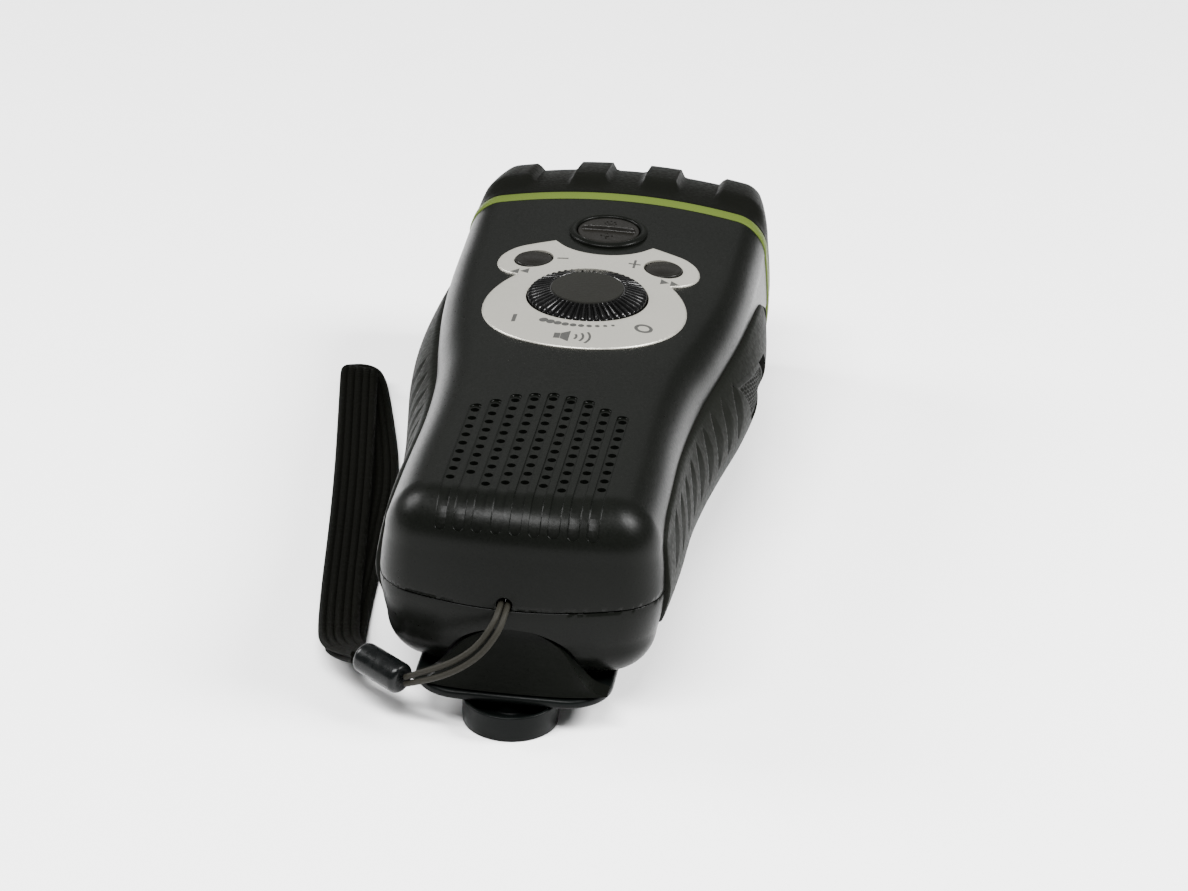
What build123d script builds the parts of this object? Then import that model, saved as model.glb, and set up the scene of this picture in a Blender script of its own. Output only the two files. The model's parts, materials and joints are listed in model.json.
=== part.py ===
from build123d import *
from math import cos, sin, pi, radians, tan
import os

os.makedirs("parts", exist_ok=True)

# Wind-up torch radio, in millimetres. +Y is the torch head, +Z the control face, +X the right
# side seen from behind the butt. It lies on its crank knob and the underside of its head at Z = 0.

# ---- driving dimensions -------------------------------------------------------------------
LENGTH = 193.5              # crank knob to the front of the head guard
HEAD_Y = LENGTH / 2         # front of the head guard
BUTT_Y = -89.2              # middle of the rounded butt end
PART_Z = 27.0               # parting line between the two case halves
WALL = 2.0                  # case wall
FACE_Z = 50.0               # control plate's top

TRIM_Y, TRIM_LONG = 71.4, 2.9
GUARD_Y = TRIM_Y + TRIM_LONG
LUG_STEP = 2.3              # how far the head guard's lugs stand above its recesses

DIAL = (0.0, 18.75)         # volume dial's axis
DIAL_R, DIAL_CAP_R, DIAL_TOP = 13.6, 8.1, 52.9
SCAN_X, SCAN_Y, SCAN_R = 15.0, 37.1, 4.3
LAMP_Y, LAMP_R, LAMP_RING_R = 53.7, 6.9, 8.9
BUTTON_GAP = 0.2
BUTTON_TRAVEL = 0.8
PLATE_THICK = 1.2

HUB_Y = -64.5               # crank's axis
KNOB_R, KNOB_HIGH = 10.2, 5.8
KNOB_Y = -HEAD_Y + KNOB_R   # knob's axis on the crank arm
ARM_TOP, ARM_THICK, ARM_HALF = 8.1, 2.0, 21.0
ARM_END = 5.0               # arm's edge past the knob's axis
SHAFT_R, FIT = 3.0, 0.04

MODULE = 0.5
DRIVE_TEETH, PINION_TEETH, IDLER_TEETH = 60, 12, 48
TOOTH_GAP = 0.06            # tips stop this short of the pitch circle

SPEAKER_Y, SPEAKER_R = -54.5, 18.0
GRILLE_PITCH, GRILLE_HOLE_R = 4.0, 0.95
GRILLE_ROWS = [9, 9, 11, 11, 11, 11, 11, 9, 9]
GRILLE_TOPS = [-40.1, -37.9, -35.2, -34.2, -33.5]

# Case sections: place along Y, half width at the parting line, top of the front half,
# bottom of the back half
STATIONS = [
    (BUTT_Y + 0.3, 7.0, 40.8, 15.6),
    (BUTT_Y + 1.1, 11.2, 43.2, 12.6),
    (BUTT_Y + 2.8, 18.6, 45.9, 10.6),
    (BUTT_Y + 5.2, 25.4, 47.9, 9.2),
    (BUTT_Y + 8.5, 28.6, 49.2, 8.5),
    (BUTT_Y + 14.0, 30.4, 49.7, 8.5),
    (-55.0, 30.3, 49.8, 8.5),
    (-30.0, 29.8, 49.8, 8.5),
    (-10.0, 30.7, 49.8, 8.4),
    (8.0, 33.2, 49.9, 7.6),
    (25.0, 35.2, 50.0, 6.0),
    (42.0, 36.1, 50.3, 4.2),
    (58.0, 36.2, 50.7, 2.8),
    (TRIM_Y, 36.2, 51.2, 1.8),
]
TOP_ROUND, BACK_ROUND = 3.6, 3.2      # superellipse powers of the two halves

PLATE_R, EAR_R, LAMP_BITE_R = 23.1, 8.4, 13.0
PLATE_SEAT = 0.9            # plate's underside below the case's outer surface
DIAL_GAP = 0.4
RIBS = 48
GROOVE_END, GROOVE_DEEP = -83.5, 0.45
LAMP_Z, LAMP_X = 26.5, (-18.5, 0.0, 18.5)
LUG_X, LUG_CORNER_X = 8.45, 22.5
BOARD_Z = 38.0
SCREW_AT = [(-24, -72), (24, -72), (-28, 44), (28, 44)]
SCREW_SEAT = 14.0
BUSH_R, AXLE_R, PIN_R = 5.0, 1.0, 2.0
IDLER_AT = (0.0, HUB_Y + MODULE * (DRIVE_TEETH + PINION_TEETH) / 2)
ROTOR_AT = (-9.0, IDLER_AT[1] + 12.0)
PILLAR_AT = [(-17.5, -77), (17.5, -77), (17.5, -26), (4.5, -26)]
GEAR_PLATE_Z = 28.0
BACK_Z = 8.5
ARCH_HALF, ARCH_HIGH, ARCH_FLOOR_Y = 21.5, 14.0, -85.2
STRAP_X, PIN_Y = -1.5, BUTT_Y + 3.9
JACK_OUTLINE = [(8.0, 36.0), (14.0, 24.5), (44.0, 18.5), (36.0, 31.0)]
COVER_OUTLINE = [(8.0, 36.0), (14.0, 24.5), (41.8, 18.9), (31.1, 31.9)]
COVER_GAP, COVER_THICK = 0.5, 1.6
JACK_AT = (26.0, 27.0)

# Wrist strap: two strands of cord from the butt to a barrel clamp, and a loop of webbing
CORD_R, CLAMP_R, WEB_WIDE, WEB_THICK = 0.65, 3.4, 9.0, 1.1
CLAMP_ENDS = [(-32.0, -85.5, 11.2), (-22.0, -92.5, 10.2)]
CORD_UPPER = [
    (-2.2, -86.4, 28.5), (-2.2, -91.0, 28.3), (-3.0, -94.0, 26.2), (-5.8, -95.4, 21.8), (-9.4, -95.8, 18.6),
    (-13.6, -95.6, 16.0), (-18.0, -94.6, 13.6), (-21.4, -92.9, 11.2),
]
CORD_LOWER = [
    (-0.8, -86.4, 28.2), (-0.8, -91.4, 27.9), (-1.6, -94.8, 25.2), (-4.6, -96.2, 20.6), (-8.4, -96.6, 17.2),
    (-12.8, -96.4, 14.4), (-17.4, -95.2, 12.0), (-21.4, -92.9, 9.6),
]
WEBBING = [
    (-32.0, -85.5, 11.8), (-38.2, -76.0, 7.2), (-42.6, -58.0, 2.6), (-51.0, 5.0, 2.4), (-59.0, 54.0, 3.6),
    (-60.2, 62.0, 6.2), (-59.4, 64.5, 3.4), (-57.0, 60.0, 1.0), (-46.5, 18.0, 0.8), (-44.0, -10.0, 0.8),
    (-41.0, -56.0, 0.8), (-37.6, -76.0, 5.4), (-32.0, -85.5, 10.4),
]

# Side grip sections: place along Y, bulge past the case, lower and upper edge
GRIP = [
    (-73.0, 0.9, 21.0, 33.0),
    (-60.0, 1.3, 15.0, 40.0),
    (-42.0, 2.0, 14.0, 40.3),
    (-25.0, 3.5, 13.5, 39.1),
    (-8.0, 4.8, 13.0, 38.2),
    (10.0, 4.7, 13.0, 38.4),
    (28.0, 3.7, 13.5, 38.0),
    (45.0, 2.2, 15.0, 37.0),
    (58.0, 1.0, 20.0, 34.4),
]


def save(shape, name):
    export_step(shape, f"parts/{name}.step")


def cylinder(radius, low, high, at=(0, 0)):
    return Pos(at[0], at[1], (low + high) / 2) * Cylinder(radius, high - low)


def cone(low_r, high_r, low, high, at=(0, 0)):
    return Pos(at[0], at[1], (low + high) / 2) * Cone(low_r, high_r, high - low)


def block(x, y, z):
    """A box from its low and high places along each axis."""
    size = [b - a for a, b in (x, y, z)]
    middle = [(a + b) / 2 for a, b in (x, y, z)]
    return Pos(*middle) * Box(*size)


def largest(shape):
    """The biggest solid of a shape, without the crumbs that a cut may leave."""
    return max(shape.solids(), key=lambda s: s.volume)


def group(shapes):
    return Compound(children=list(shapes))


# ---- case ---------------------------------------------------------------------------------
def half_section(y, wide, foot, crest, power, steps=8):
    """A case half's section at y: flat along foot and rounded up or down to crest."""
    points = []
    for i in range(2 * steps + 1):
        a = pi * i / (2 * steps)
        x = wide * (abs(cos(a)) ** (2 / power)) * (1 if cos(a) >= 0 else -1)
        points.append((x, y, foot + (crest - foot) * sin(a) ** (2 / power)))
    points[-1] = (-wide, y, foot)
    edge = Spline(*points)
    return Face(Wire([edge, Line(points[-1], points[0])]))


def case_half(front, inset=0.0):
    """The solid outline of one case half, inset by a wall."""
    last = len(STATIONS) - 1
    sections = []
    for i, (y, wide, top, back) in enumerate(STATIONS):
        crest = top - inset if front else back + inset
        if i == 0 or inset == 0 or i == last:
            place = y + (inset if i == 0 else 0)
        else:
            place = max(y, BUTT_Y + inset) + inset * max(0.0, 1 - (y - BUTT_Y) / 14.0) * 0.6
        power = TOP_ROUND if front else BACK_ROUND
        sections.append(half_section(place, wide - inset, PART_Z, crest, power))
    return loft(sections)


front_outer = case_half(True)
back_outer = case_half(False)
case_outer = front_outer + back_outer
front_inner = case_half(True, WALL)
back_inner = case_half(False, WALL)


def case_x(y, z):
    """The case's half width at a place on its side."""
    for (y0, w0, t0, b0), (y1, w1, t1, b1) in zip(STATIONS, STATIONS[1:]):
        if y0 <= y <= y1:
            k = (y - y0) / (y1 - y0)
            wide, top, back = w0 + k * (w1 - w0), t0 + k * (t1 - t0), b0 + k * (b1 - b0)
            crest, power = (top, TOP_ROUND) if z >= PART_Z else (back, BACK_ROUND)
            share = min(1.0, abs((z - PART_Z) / (crest - PART_Z)))
            return wide * (1 - share ** power) ** (1 / power)
    raise ValueError(y)


def plate_outline(grow=0.0):
    """The control plate's outline: a big circle with an ear round each scan button."""
    big = Pos(0, DIAL[1] - 4.4) * Circle(PLATE_R + grow)
    ears = [Pos(x, SCAN_Y) * Circle(EAR_R + grow) for x in (-SCAN_X, SCAN_X)]
    bridge = Pos(0, SCAN_Y - 2) * Rectangle(2 * SCAN_X, 2 * EAR_R - 5 + 2 * grow)
    bite = Pos(0, LAMP_Y) * Circle(LAMP_BITE_R - grow)
    return big + ears + bridge - bite


def plate_prism(grow=0.0):
    return extrude(Pos(0, 0, 40) * plate_outline(grow), 20)


def grille_places():
    for column, rows in enumerate(GRILLE_ROWS):
        x = (column - 4) * GRILLE_PITCH
        top = GRILLE_TOPS[min(column, 8 - column)]
        yield x, top, rows


def grille_cut():
    """The speaker's holes and the shallow grooves that they lie in."""
    holes, grooves = [], []
    for x, top, rows in grille_places():
        holes += [Pos(x, top - i * GRILLE_PITCH, 46) * Cylinder(GRILLE_HOLE_R, 16) for i in range(rows)]
        long = top + 2 - GROOVE_END
        grooves.append(Pos(x, top + 2 - long / 2, 36) * extrude(SlotOverall(long, 2.6, rotation=90), 20))
    return holes, grooves


def posts(low, high, radius):
    return [cylinder(radius, low, high, at) for at in SCREW_AT]


def make_front_shell():
    shell = front_outer - (front_inner - posts(PART_Z - 1, 52, 3.2) - pin_block())
    shell -= make_strap_pin()
    shell -= plate_prism(0.1) - case_half(True, PLATE_SEAT)
    holes, grooves = grille_cut()
    shell -= group(grooves) - case_half(True, GROOVE_DEEP)
    shell -= group(holes)
    shell -= cylinder(DIAL_R + DIAL_GAP, 40, 60, DIAL)
    shell -= [cylinder(SCAN_R + BUTTON_GAP, 40, 60, (x, SCAN_Y)) for x in (-SCAN_X, SCAN_X)]
    shell -= cylinder(LAMP_RING_R, 40, 60, (0, LAMP_Y))
    shell -= posts(PART_Z - 1, 41, 1.25)
    return shell - strap_hole()


def strap_hole():
    """A notch in the front shell's edge that the strap's cord comes out of."""
    slot = block((STRAP_X - 1.8, STRAP_X + 1.8), (BUTT_Y - 4, BUTT_Y + 3), (PART_Z - 2, PART_Z + 1.3))
    return slot + Pos(STRAP_X, BUTT_Y - 0.5, PART_Z + 1.3) * Rot(90, 0, 0) * Cylinder(1.8, 7)


def arch(grow, y0, y1):
    """A bell-shaped arch over the crank arm's end, run from y0 to y1."""
    half, high = ARCH_HALF + grow, ARCH_HIGH + grow
    side = [(-half, 0.0), (-0.80 * half, 0.14 * high), (-0.52 * half, 0.72 * high), (0.0, high)]
    points = side + [(-x, z) for x, z in reversed(side[:-1])]
    foot = Polyline(points[-1], (half, -4.0), (-half, -4.0), points[0])
    bell = Wire([Spline(*points), *foot.edges()])
    return Pos(0, y1, BACK_Z) * Rot(90, 0, 0) * extrude(Face(bell), y1 - y0, dir=(0, 0, 1))


def arch_tongue():
    """The sloping face inside the arch, which comes out to meet the crank arm's edge."""
    z, top = BACK_Z, BACK_Z + ARCH_HIGH
    wedge = Polyline((-80, z), (-91.0, z), (-90.3, z + 1.6), (-87.4, top - 3), (-86.6, top + 2), (-80, top + 2), close=True)
    side_view = extrude(Plane.YZ.offset(-30) * make_face(wedge), 60)
    return arch(-0.9, -92, -84.5) & side_view


def make_back_shell():
    bosses = [cylinder(6.0, 8.0, 11.2, (0, HUB_Y))]
    bosses += [cylinder(2.2, 8.0, 12.0, at) for at in (IDLER_AT, ROTOR_AT)]
    shell = back_outer - (back_inner - arch(1.5, -95, -83.0) - posts(0, PART_Z + 1, 3.6) - bosses)
    shell -= arch(0.0, -95, ARCH_FLOOR_Y)
    shell += arch_tongue()
    shell -= [cylinder(1.5, 0, 30, at) for at in SCREW_AT]
    shell -= posts(0, SCREW_SEAT, 2.9)
    shell -= cylinder(BUSH_R, 0, 20, (0, HUB_Y))
    return shell - [cylinder(AXLE_R, 10.2, 13, at) for at in (IDLER_AT, ROTOR_AT)]


def make_plate():
    plate = plate_prism() & (case_half(True, PLATE_SEAT - PLATE_THICK) - case_half(True, PLATE_SEAT))
    plate -= cylinder(DIAL_R + DIAL_GAP, 40, 60, DIAL)
    plate -= [cylinder(SCAN_R + BUTTON_GAP, 40, 60, (x, SCAN_Y)) for x in (-SCAN_X, SCAN_X)]
    return plate


# ---- head -----------------------------------------------------------------------------------
def ring_section(y, wide, top, back):
    """A closed head section at y, in the case's own roundness."""
    points = []
    for i in range(25):
        a = 2 * pi * i / 24
        power, crest = (TOP_ROUND, top) if sin(a) >= 0 else (BACK_ROUND, back)
        x = wide * abs(cos(a)) ** (2 / power) * (1 if cos(a) >= 0 else -1)
        points.append((x, y, PART_Z + (crest - PART_Z) * abs(sin(a)) ** (2 / power)))
    return Face(Wire([Spline(*points[:13]), Spline(*points[12:24], points[0])]))


def head_solid(stations, inset=0.0):
    return loft([ring_section(y, w - inset, t - inset, b + inset) for y, w, t, b in stations])


HEAD_STATIONS = [(GUARD_Y, 36.2, 51.2, 2.0), (85.0, 35.6, 50.6, 2.6), (HEAD_Y, 33.6, 49.0, 4.4)]
LUG_STATIONS = [(GUARD_Y + 4, 36.8, 51.6, 0.6), (84.0, 37.3, 52.0, 0.2), (HEAD_Y, 35.8, 51.2, 0.4)]


def make_trim_ring():
    y1 = TRIM_Y + TRIM_LONG
    return head_solid([(TRIM_Y, 36.5, 51.5, 1.6), (y1, 36.5, 51.5, 1.6)]) - head_solid(
        [(TRIM_Y - 1, 33.4, 48.4, 4.8), (y1 + 1, 33.4, 48.4, 4.8)])


def make_head_guard():
    """The rubber guard: a plain sleeve with lugs at the top, the bottom, the sides and corners."""
    sleeve = head_solid(HEAD_STATIONS)
    lugs = head_solid(LUG_STATIONS)
    keep = [block((x - 3.4, x + 3.4), (70, 100), (-5, 60)) for x in (-LUG_X, LUG_X)]
    for side in (-1, 1):
        corner = sorted((side * LUG_CORNER_X, side * 60))
        keep += [block(corner, (70, 100), (37.5, 60)), block(corner, (70, 100), (-5, 16.5))]
    guard = sleeve + (lugs & group(keep))
    guard -= head_solid([(GUARD_Y - 1, 33.4, 48.4, 4.8), (HEAD_Y - 6, 32.2, 47.4, 6.0)])
    return guard - head_solid([(HEAD_Y - 8, 29.5, 44.8, 8.6), (HEAD_Y + 1, 30.5, 45.8, 7.6)])


def make_lens():
    return head_solid([(HEAD_Y - 8.0, 32.0, 47.2, 6.2), (HEAD_Y - 6.0, 32.0, 47.2, 6.2)])


def make_reflector():
    """A bowl for each of the three lamps, in one moulding behind the lens."""
    front = HEAD_Y - 8.2
    body = head_solid([(front - 16, 30.0, 44.5, 9.0), (front, 31.6, 46.8, 6.6)])
    bowls = [Pos(x, front - 7.0, LAMP_Z) * Rot(-90, 0, 0) * Cone(2.6, 9.2, 14.2) for x in LAMP_X]
    bores = [Pos(x, front - 15, LAMP_Z) * Rot(90, 0, 0) * Cylinder(2.6, 4) for x in LAMP_X]
    return body - group(bowls) - group(bores)


def make_led_board():
    y = HEAD_Y - 8.2 - 16 - 1.8
    return Pos(0, y + 0.8, LAMP_Z) * Box(58, 1.6, 30)


def make_leds():
    y = HEAD_Y - 8.2 - 16 - 0.2
    bodies = []
    for x in LAMP_X:
        stem = Pos(x, y + 3.0, LAMP_Z) * Rot(90, 0, 0) * Cylinder(2.5, 6)
        bodies.append(stem + Pos(x, y + 6, LAMP_Z) * Sphere(2.5))
    return group(bodies)


# ---- controls ---------------------------------------------------------------------------------
def make_dial():
    """A ribbed cone round a flat cap, with a socket for the control's shaft."""
    skirt = cylinder(DIAL_R, 46.6, 50.0, DIAL)
    slope = cone(DIAL_R, DIAL_CAP_R, 50.0, DIAL_TOP, DIAL)
    ribs = []
    for i in range(RIBS):
        groove = Pos(*DIAL, 0) * Rot(0, 0, 360 * i / RIBS) * Pos(11.6, 0, 52.0) * Rot(0, 28, 0)
        ribs.append(groove * Box(7.6, 0.55, 1.0))
    dial = skirt + slope - group(ribs)
    return dial - cylinder(3.0, 46, 50, DIAL)


def make_scan_button(x):
    stem = cylinder(1.6, 42.9, 46.0, (x, SCAN_Y))
    cap = cylinder(SCAN_R, 46.0, 50.0, (x, SCAN_Y))
    flange = cylinder(SCAN_R + 1.2, 45.0, 46.4, (x, SCAN_Y))
    dome = Pos(x, SCAN_Y, 50.3 - 14) * Sphere(14.4) & cylinder(SCAN_R, 49.9, 52, (x, SCAN_Y))
    return stem + cap + flange + dome


def make_lamp_button():
    at = (0, LAMP_Y)
    body = cylinder(LAMP_R, 45.6, 50.6, at) + cylinder(1.6, 42.9, 46, at)
    dome = Pos(0, LAMP_Y, 51.4 - 24) * Sphere(24) & cylinder(LAMP_R, 50.5, 53, at)
    ridge = block((-LAMP_R + 0.8, LAMP_R - 0.8), (LAMP_Y - 0.7, LAMP_Y + 0.7), (50.6, 51.7))
    return body + dome + ridge + cylinder(LAMP_R + 1.0, 44.8, 46.0, at)


def make_lamp_ring():
    at = (0, LAMP_Y)
    ring = cylinder(LAMP_RING_R, 48.0, 51.2, at)
    return ring - cylinder(LAMP_R + BUTTON_GAP, 40, 60, at)


def make_main_board():
    board = block((-23, 23), (-22, 60), (BOARD_Z, BOARD_Z + 1.6))
    return board - cylinder(1.0, 30, 50, (18, -16)) - cylinder(1.0, 30, 50, (-18, 56))


def make_volume_control():
    body = cylinder(8.0, BOARD_Z + 1.6, 43.5, DIAL)
    return body - cylinder(2.0 + FIT, 41.0, 44, DIAL)


def make_dial_shaft():
    return cylinder(2.0, 41.2, 46.6, DIAL) + cylinder(3.0, 46.6, 50.0, DIAL)


def make_switches():
    places = [(-SCAN_X, SCAN_Y), (SCAN_X, SCAN_Y), (0, LAMP_Y)]
    bodies = []
    for x, y in places:
        can = block((x - 3, x + 3), (y - 3, y + 3), (BOARD_Z + 1.6, 41.2))
        bodies.append(can + cylinder(1.6, 41.2, 42.0, (x, y)))
    return group(bodies)


def make_board_parts():
    """The radio chip, the rectifier and the filter capacitors."""
    top, under = BOARD_Z + 1.6, BOARD_Z
    chip = block((-16, -8), (-16, -8), (top, top + 1.8))
    can = block((6, 18), (-18, -6), (top, top + 3))
    caps = [cylinder(3.2, under - 9, under, (x, 44)) for x in (-14, 0, 14)]
    return group([chip, can, *caps])


# ---- speaker, battery, dynamo -----------------------------------------------------------------
def make_speaker_frame():
    at = (0, SPEAKER_Y)
    basket = cylinder(SPEAKER_R, 43.0, 44.6, at) + cone(10.5, 16.5, 36.5, 43.0, at)
    magnet = cylinder(9.5, 31.5, 36.5, at)
    return basket + magnet - cone(8.5, 15.6, 37.5, 44.7, at)


def make_speaker_cone():
    at = (0, SPEAKER_Y)
    paper = cone(6.0, 14.4, 38.6, 44.0, at) - cone(5.4, 13.8, 38.9, 44.3, at)
    return paper + cylinder(5.4, 38.6, 39.6, at)


def make_battery():
    cells = [Pos(x, 22, 20) * Rot(90, 0, 0) * Cylinder(7.2, 50) for x in (-14.6, 0, 14.6)]
    return group(cells)


def make_battery_wrap():
    outer = Pos(0, 22, 20) * Rot(90, 0, 0) * extrude(Pos(0, 0, -22) * SlotOverall(45.4, 16.2), 44)
    inner = Pos(0, 22, 20) * Rot(90, 0, 0) * extrude(Pos(0, 0, -23) * SlotOverall(44.4, 15.2), 46)
    return outer - inner


def gear(teeth, low, high, at, bore, turn=0.0):
    """A spur gear whose tips stop just inside its pitch circle."""
    pitch = MODULE * teeth / 2
    tip, root = pitch - TOOTH_GAP, pitch - TOOTH_GAP - 2 * MODULE
    points = []
    for i in range(teeth):
        for share, radius in ((-0.30, root), (-0.13, tip), (0.13, tip), (0.30, root)):
            a = 2 * pi * (i + share) / teeth + radians(turn)
            points.append((radius * cos(a), radius * sin(a)))
    face = make_face(Polyline(*points, close=True))
    solid = Pos(at[0], at[1], low) * extrude(face, high - low)
    return solid - cylinder(bore, low - 1, high + 1, at) if bore else solid


def make_idler():
    wheel = gear(IDLER_TEETH, 17.0, 19.0, IDLER_AT, AXLE_R + FIT)
    return wheel + gear(PINION_TEETH, 13.4, 17.0, IDLER_AT, AXLE_R + FIT)


def make_rotor():
    """The dynamo's magnet ring and its pinion."""
    magnet = cylinder(9.0, 20.0, 26.0, ROTOR_AT) - cylinder(AXLE_R + FIT, 19, 27, ROTOR_AT)
    return magnet + gear(PINION_TEETH, 17.0, 20.0, ROTOR_AT, AXLE_R + FIT)


def make_stator():
    ring = cylinder(12.2, 20.4, 25.6, ROTOR_AT) - cylinder(9.6, 20, 26, ROTOR_AT)
    return ring - block((ROTOR_AT[0] + 3, 20), (-60, -20), (20, 26))


def make_axle(at):
    return cylinder(AXLE_R, 10.2, GEAR_PLATE_Z + 1.5, at)


def make_gear_plate():
    plate = block((-19.5, 19.5), (-79, -24), (GEAR_PLATE_Z, GEAR_PLATE_Z + 1.5))
    for at in PILLAR_AT:
        plate += cylinder(1.8, 10.5, GEAR_PLATE_Z, at)
    return plate - [cylinder(AXLE_R, 20, 40, at) for at in (IDLER_AT, ROTOR_AT)]


def make_bush():
    bush = cylinder(BUSH_R, ARM_TOP + 0.3, 12.4, (0, HUB_Y))
    return bush - cylinder(SHAFT_R + FIT, 0, 20, (0, HUB_Y))


def make_crank_shaft():
    return cylinder(SHAFT_R, ARM_TOP - ARM_THICK + 0.7, 16.0, (0, HUB_Y)) - cylinder(1.1, 5, 12, (0, HUB_Y))


def make_drive_gear():
    wheel = gear(DRIVE_TEETH, 13.4, 15.4, (0, HUB_Y), SHAFT_R, turn=3.0)
    return wheel - [cylinder(3.2, 13, 16, (8.6 * cos(a), HUB_Y + 8.6 * sin(a)))
                    for a in (0, pi / 3, 2 * pi / 3, pi, 4 * pi / 3, 5 * pi / 3)]


def make_crank_arm():
    """A flat paddle under the case, with its edge just past the butt."""
    low, high = ARM_TOP - ARM_THICK, ARM_TOP
    end = KNOB_Y - ARM_END
    paddle = RectangleRounded(2 * ARM_HALF, HUB_Y + 12 - end, 10)
    plate = Pos(0, (HUB_Y + 12 + end) / 2, low) * extrude(paddle, high - low)
    plate = fillet(plate.edges().group_by(Axis.Z)[0], 0.6)
    plate -= cylinder(SHAFT_R, low + 0.7, high + 1, (0, HUB_Y))
    plate -= cylinder(2.4, 0, low + 0.7, (0, HUB_Y))
    return plate - cylinder(PIN_R, 0, 20, (0, KNOB_Y))


def make_crank_screw():
    at = (0, HUB_Y)
    return cylinder(2.3, ARM_TOP - ARM_THICK - 0.6, ARM_TOP - ARM_THICK + 0.7, at) + cylinder(
        1.1, ARM_TOP - ARM_THICK + 0.7, 11.5, at)


def make_knob_pin():
    at = (0, KNOB_Y)
    return cylinder(PIN_R, 1.8, ARM_TOP, at) + cylinder(3.4, 1.0, 1.8, at)


def make_knob():
    """A round finger knob, dished on top and open below for its pin's head."""
    at = (0, KNOB_Y)
    knob = cylinder(KNOB_R, 0, KNOB_HIGH, at)
    knob = fillet(knob.edges().filter_by(GeomType.CIRCLE), 0.5)
    knob -= cylinder(KNOB_R - 1.6, KNOB_HIGH - 1.8, 10, at)
    knob += cylinder(4.0, 2.0, KNOB_HIGH, at)
    knob -= cylinder(PIN_R + FIT, -1, 10, at)
    return knob - cylinder(3.9, -1, 1.9, at)


# ---- grips, jack ------------------------------------------------------------------------------
def make_grip(side):
    """A soft side grip, bulging from the case between its upper and lower edges."""
    sections = []
    for y, bulge, low, high in GRIP:
        rise = [(case_x(y, high) + 0.5, high), (case_x(y, PART_Z + 6) + 0.9 * bulge + 0.3, PART_Z + 5)]
        rise += [(case_x(y, PART_Z) + bulge, PART_Z - 1), (case_x(y, PART_Z - 7) + 0.85 * bulge + 0.3, PART_Z - 7)]
        rise += [(case_x(y, low) + 0.5, low)]
        outer = [(side * x, y, z) for x, z in rise]
        inner_x = side * (case_x(y, high) - 6)
        inner = [(inner_x, y, low), (inner_x, y, high)]
        back = Polyline(outer[-1], *inner, outer[0])
        sections.append(Face(Wire([Spline(*outer), *back.edges()])))
    return loft(sections) - case_outer


def grip_pocket():
    """The slanting pocket in the right grip that the jack cover closes."""
    outline = make_face(Polyline(*[(y, z) for y, z in JACK_OUTLINE], close=True))
    return extrude(Plane.YZ.offset(34.0) * outline, 12)


def make_jack_cover(grips):
    """The cover: the pocket's outer skin, cut back at its hinge so that it can swing out."""
    outline = offset(make_face(Polyline(*COVER_OUTLINE, close=True)), -COVER_GAP)
    lid = extrude(Plane.YZ.offset(30.0) * outline, 16) & grips
    return largest(lid - Pos(-COVER_THICK, 0, 0) * grips)


def make_jack_socket():
    """A round socket behind the cover, on the case's inner wall."""
    x0 = 27.0
    body = Pos(x0 + 3.0, JACK_AT[0], JACK_AT[1]) * Rot(0, 90, 0) * Cylinder(3.2, 6.4)
    return body - Pos(x0 + 5.0, JACK_AT[0], JACK_AT[1]) * Rot(0, 90, 0) * Cylinder(1.8, 6.4)


# ---- wrist strap --------------------------------------------------------------------------------
def cord_tube(points, radius):
    """A cord along its route: straight runs joined by the largest arcs that they allow."""
    at = [Vector(*p) for p in points]
    runs = [b - a for a, b in zip(at, at[1:])]
    radii = []
    for a, b in zip(runs, runs[1:]):
        turn = radians(a.get_angle(b))
        radii.append(0.45 * min(a.length, b.length) / tan(turn / 2))
    path = FilletPolyline(*at, radius=radii)
    tube = sweep(Plane(origin=at[0], z_dir=runs[0]) * Circle(radius), path)
    print("cord radii", [round(r, 1) for r in radii], "length", round(path.length, 1),
          "volume", round(tube.volume, 1), "should be", round(pi * radius ** 2 * path.length, 1))
    return tube


def ribbon(points, wide, thick):
    """Flat webbing along its route, with its width level."""
    at = [Vector(*p) for p in points]
    pieces = []
    for a, b in zip(at, at[1:]):
        along = b - a
        across = along.cross(Vector(0, 0, 1)).normalized()
        run = Plane(origin=(a + b) * 0.5, x_dir=along, z_dir=across.cross(along))
        pieces.append(run * Box(along.length + 0.6, wide, thick))
    return pieces[0] + pieces[1:]


def make_strap_clamp():
    a, b = Vector(*CLAMP_ENDS[0]), Vector(*CLAMP_ENDS[1])
    barrel = Cylinder(CLAMP_R, (b - a).length)
    barrel = fillet(barrel.edges().filter_by(GeomType.CIRCLE), 0.8)
    return Plane(origin=(a + b) * 0.5, z_dir=b - a) * barrel


def make_strap_pin():
    return cylinder(1.0, 24.2, 34.0, (STRAP_X, PIN_Y))


def pin_block():
    return block((STRAP_X - 3, STRAP_X + 3), (BUTT_Y + 0.5, PIN_Y + 2), (30.5, 36))


# ---- every piece ----------------------------------------------------------------------------------
grip_right, grip_left = make_grip(1), make_grip(-1)
pocket = grip_pocket()
socket_bore = Pos(30, *JACK_AT) * Rot(0, 90, 0) * Cylinder(3.2, 20)
front = make_front_shell() - socket_bore
back = make_back_shell() - socket_bore

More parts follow.
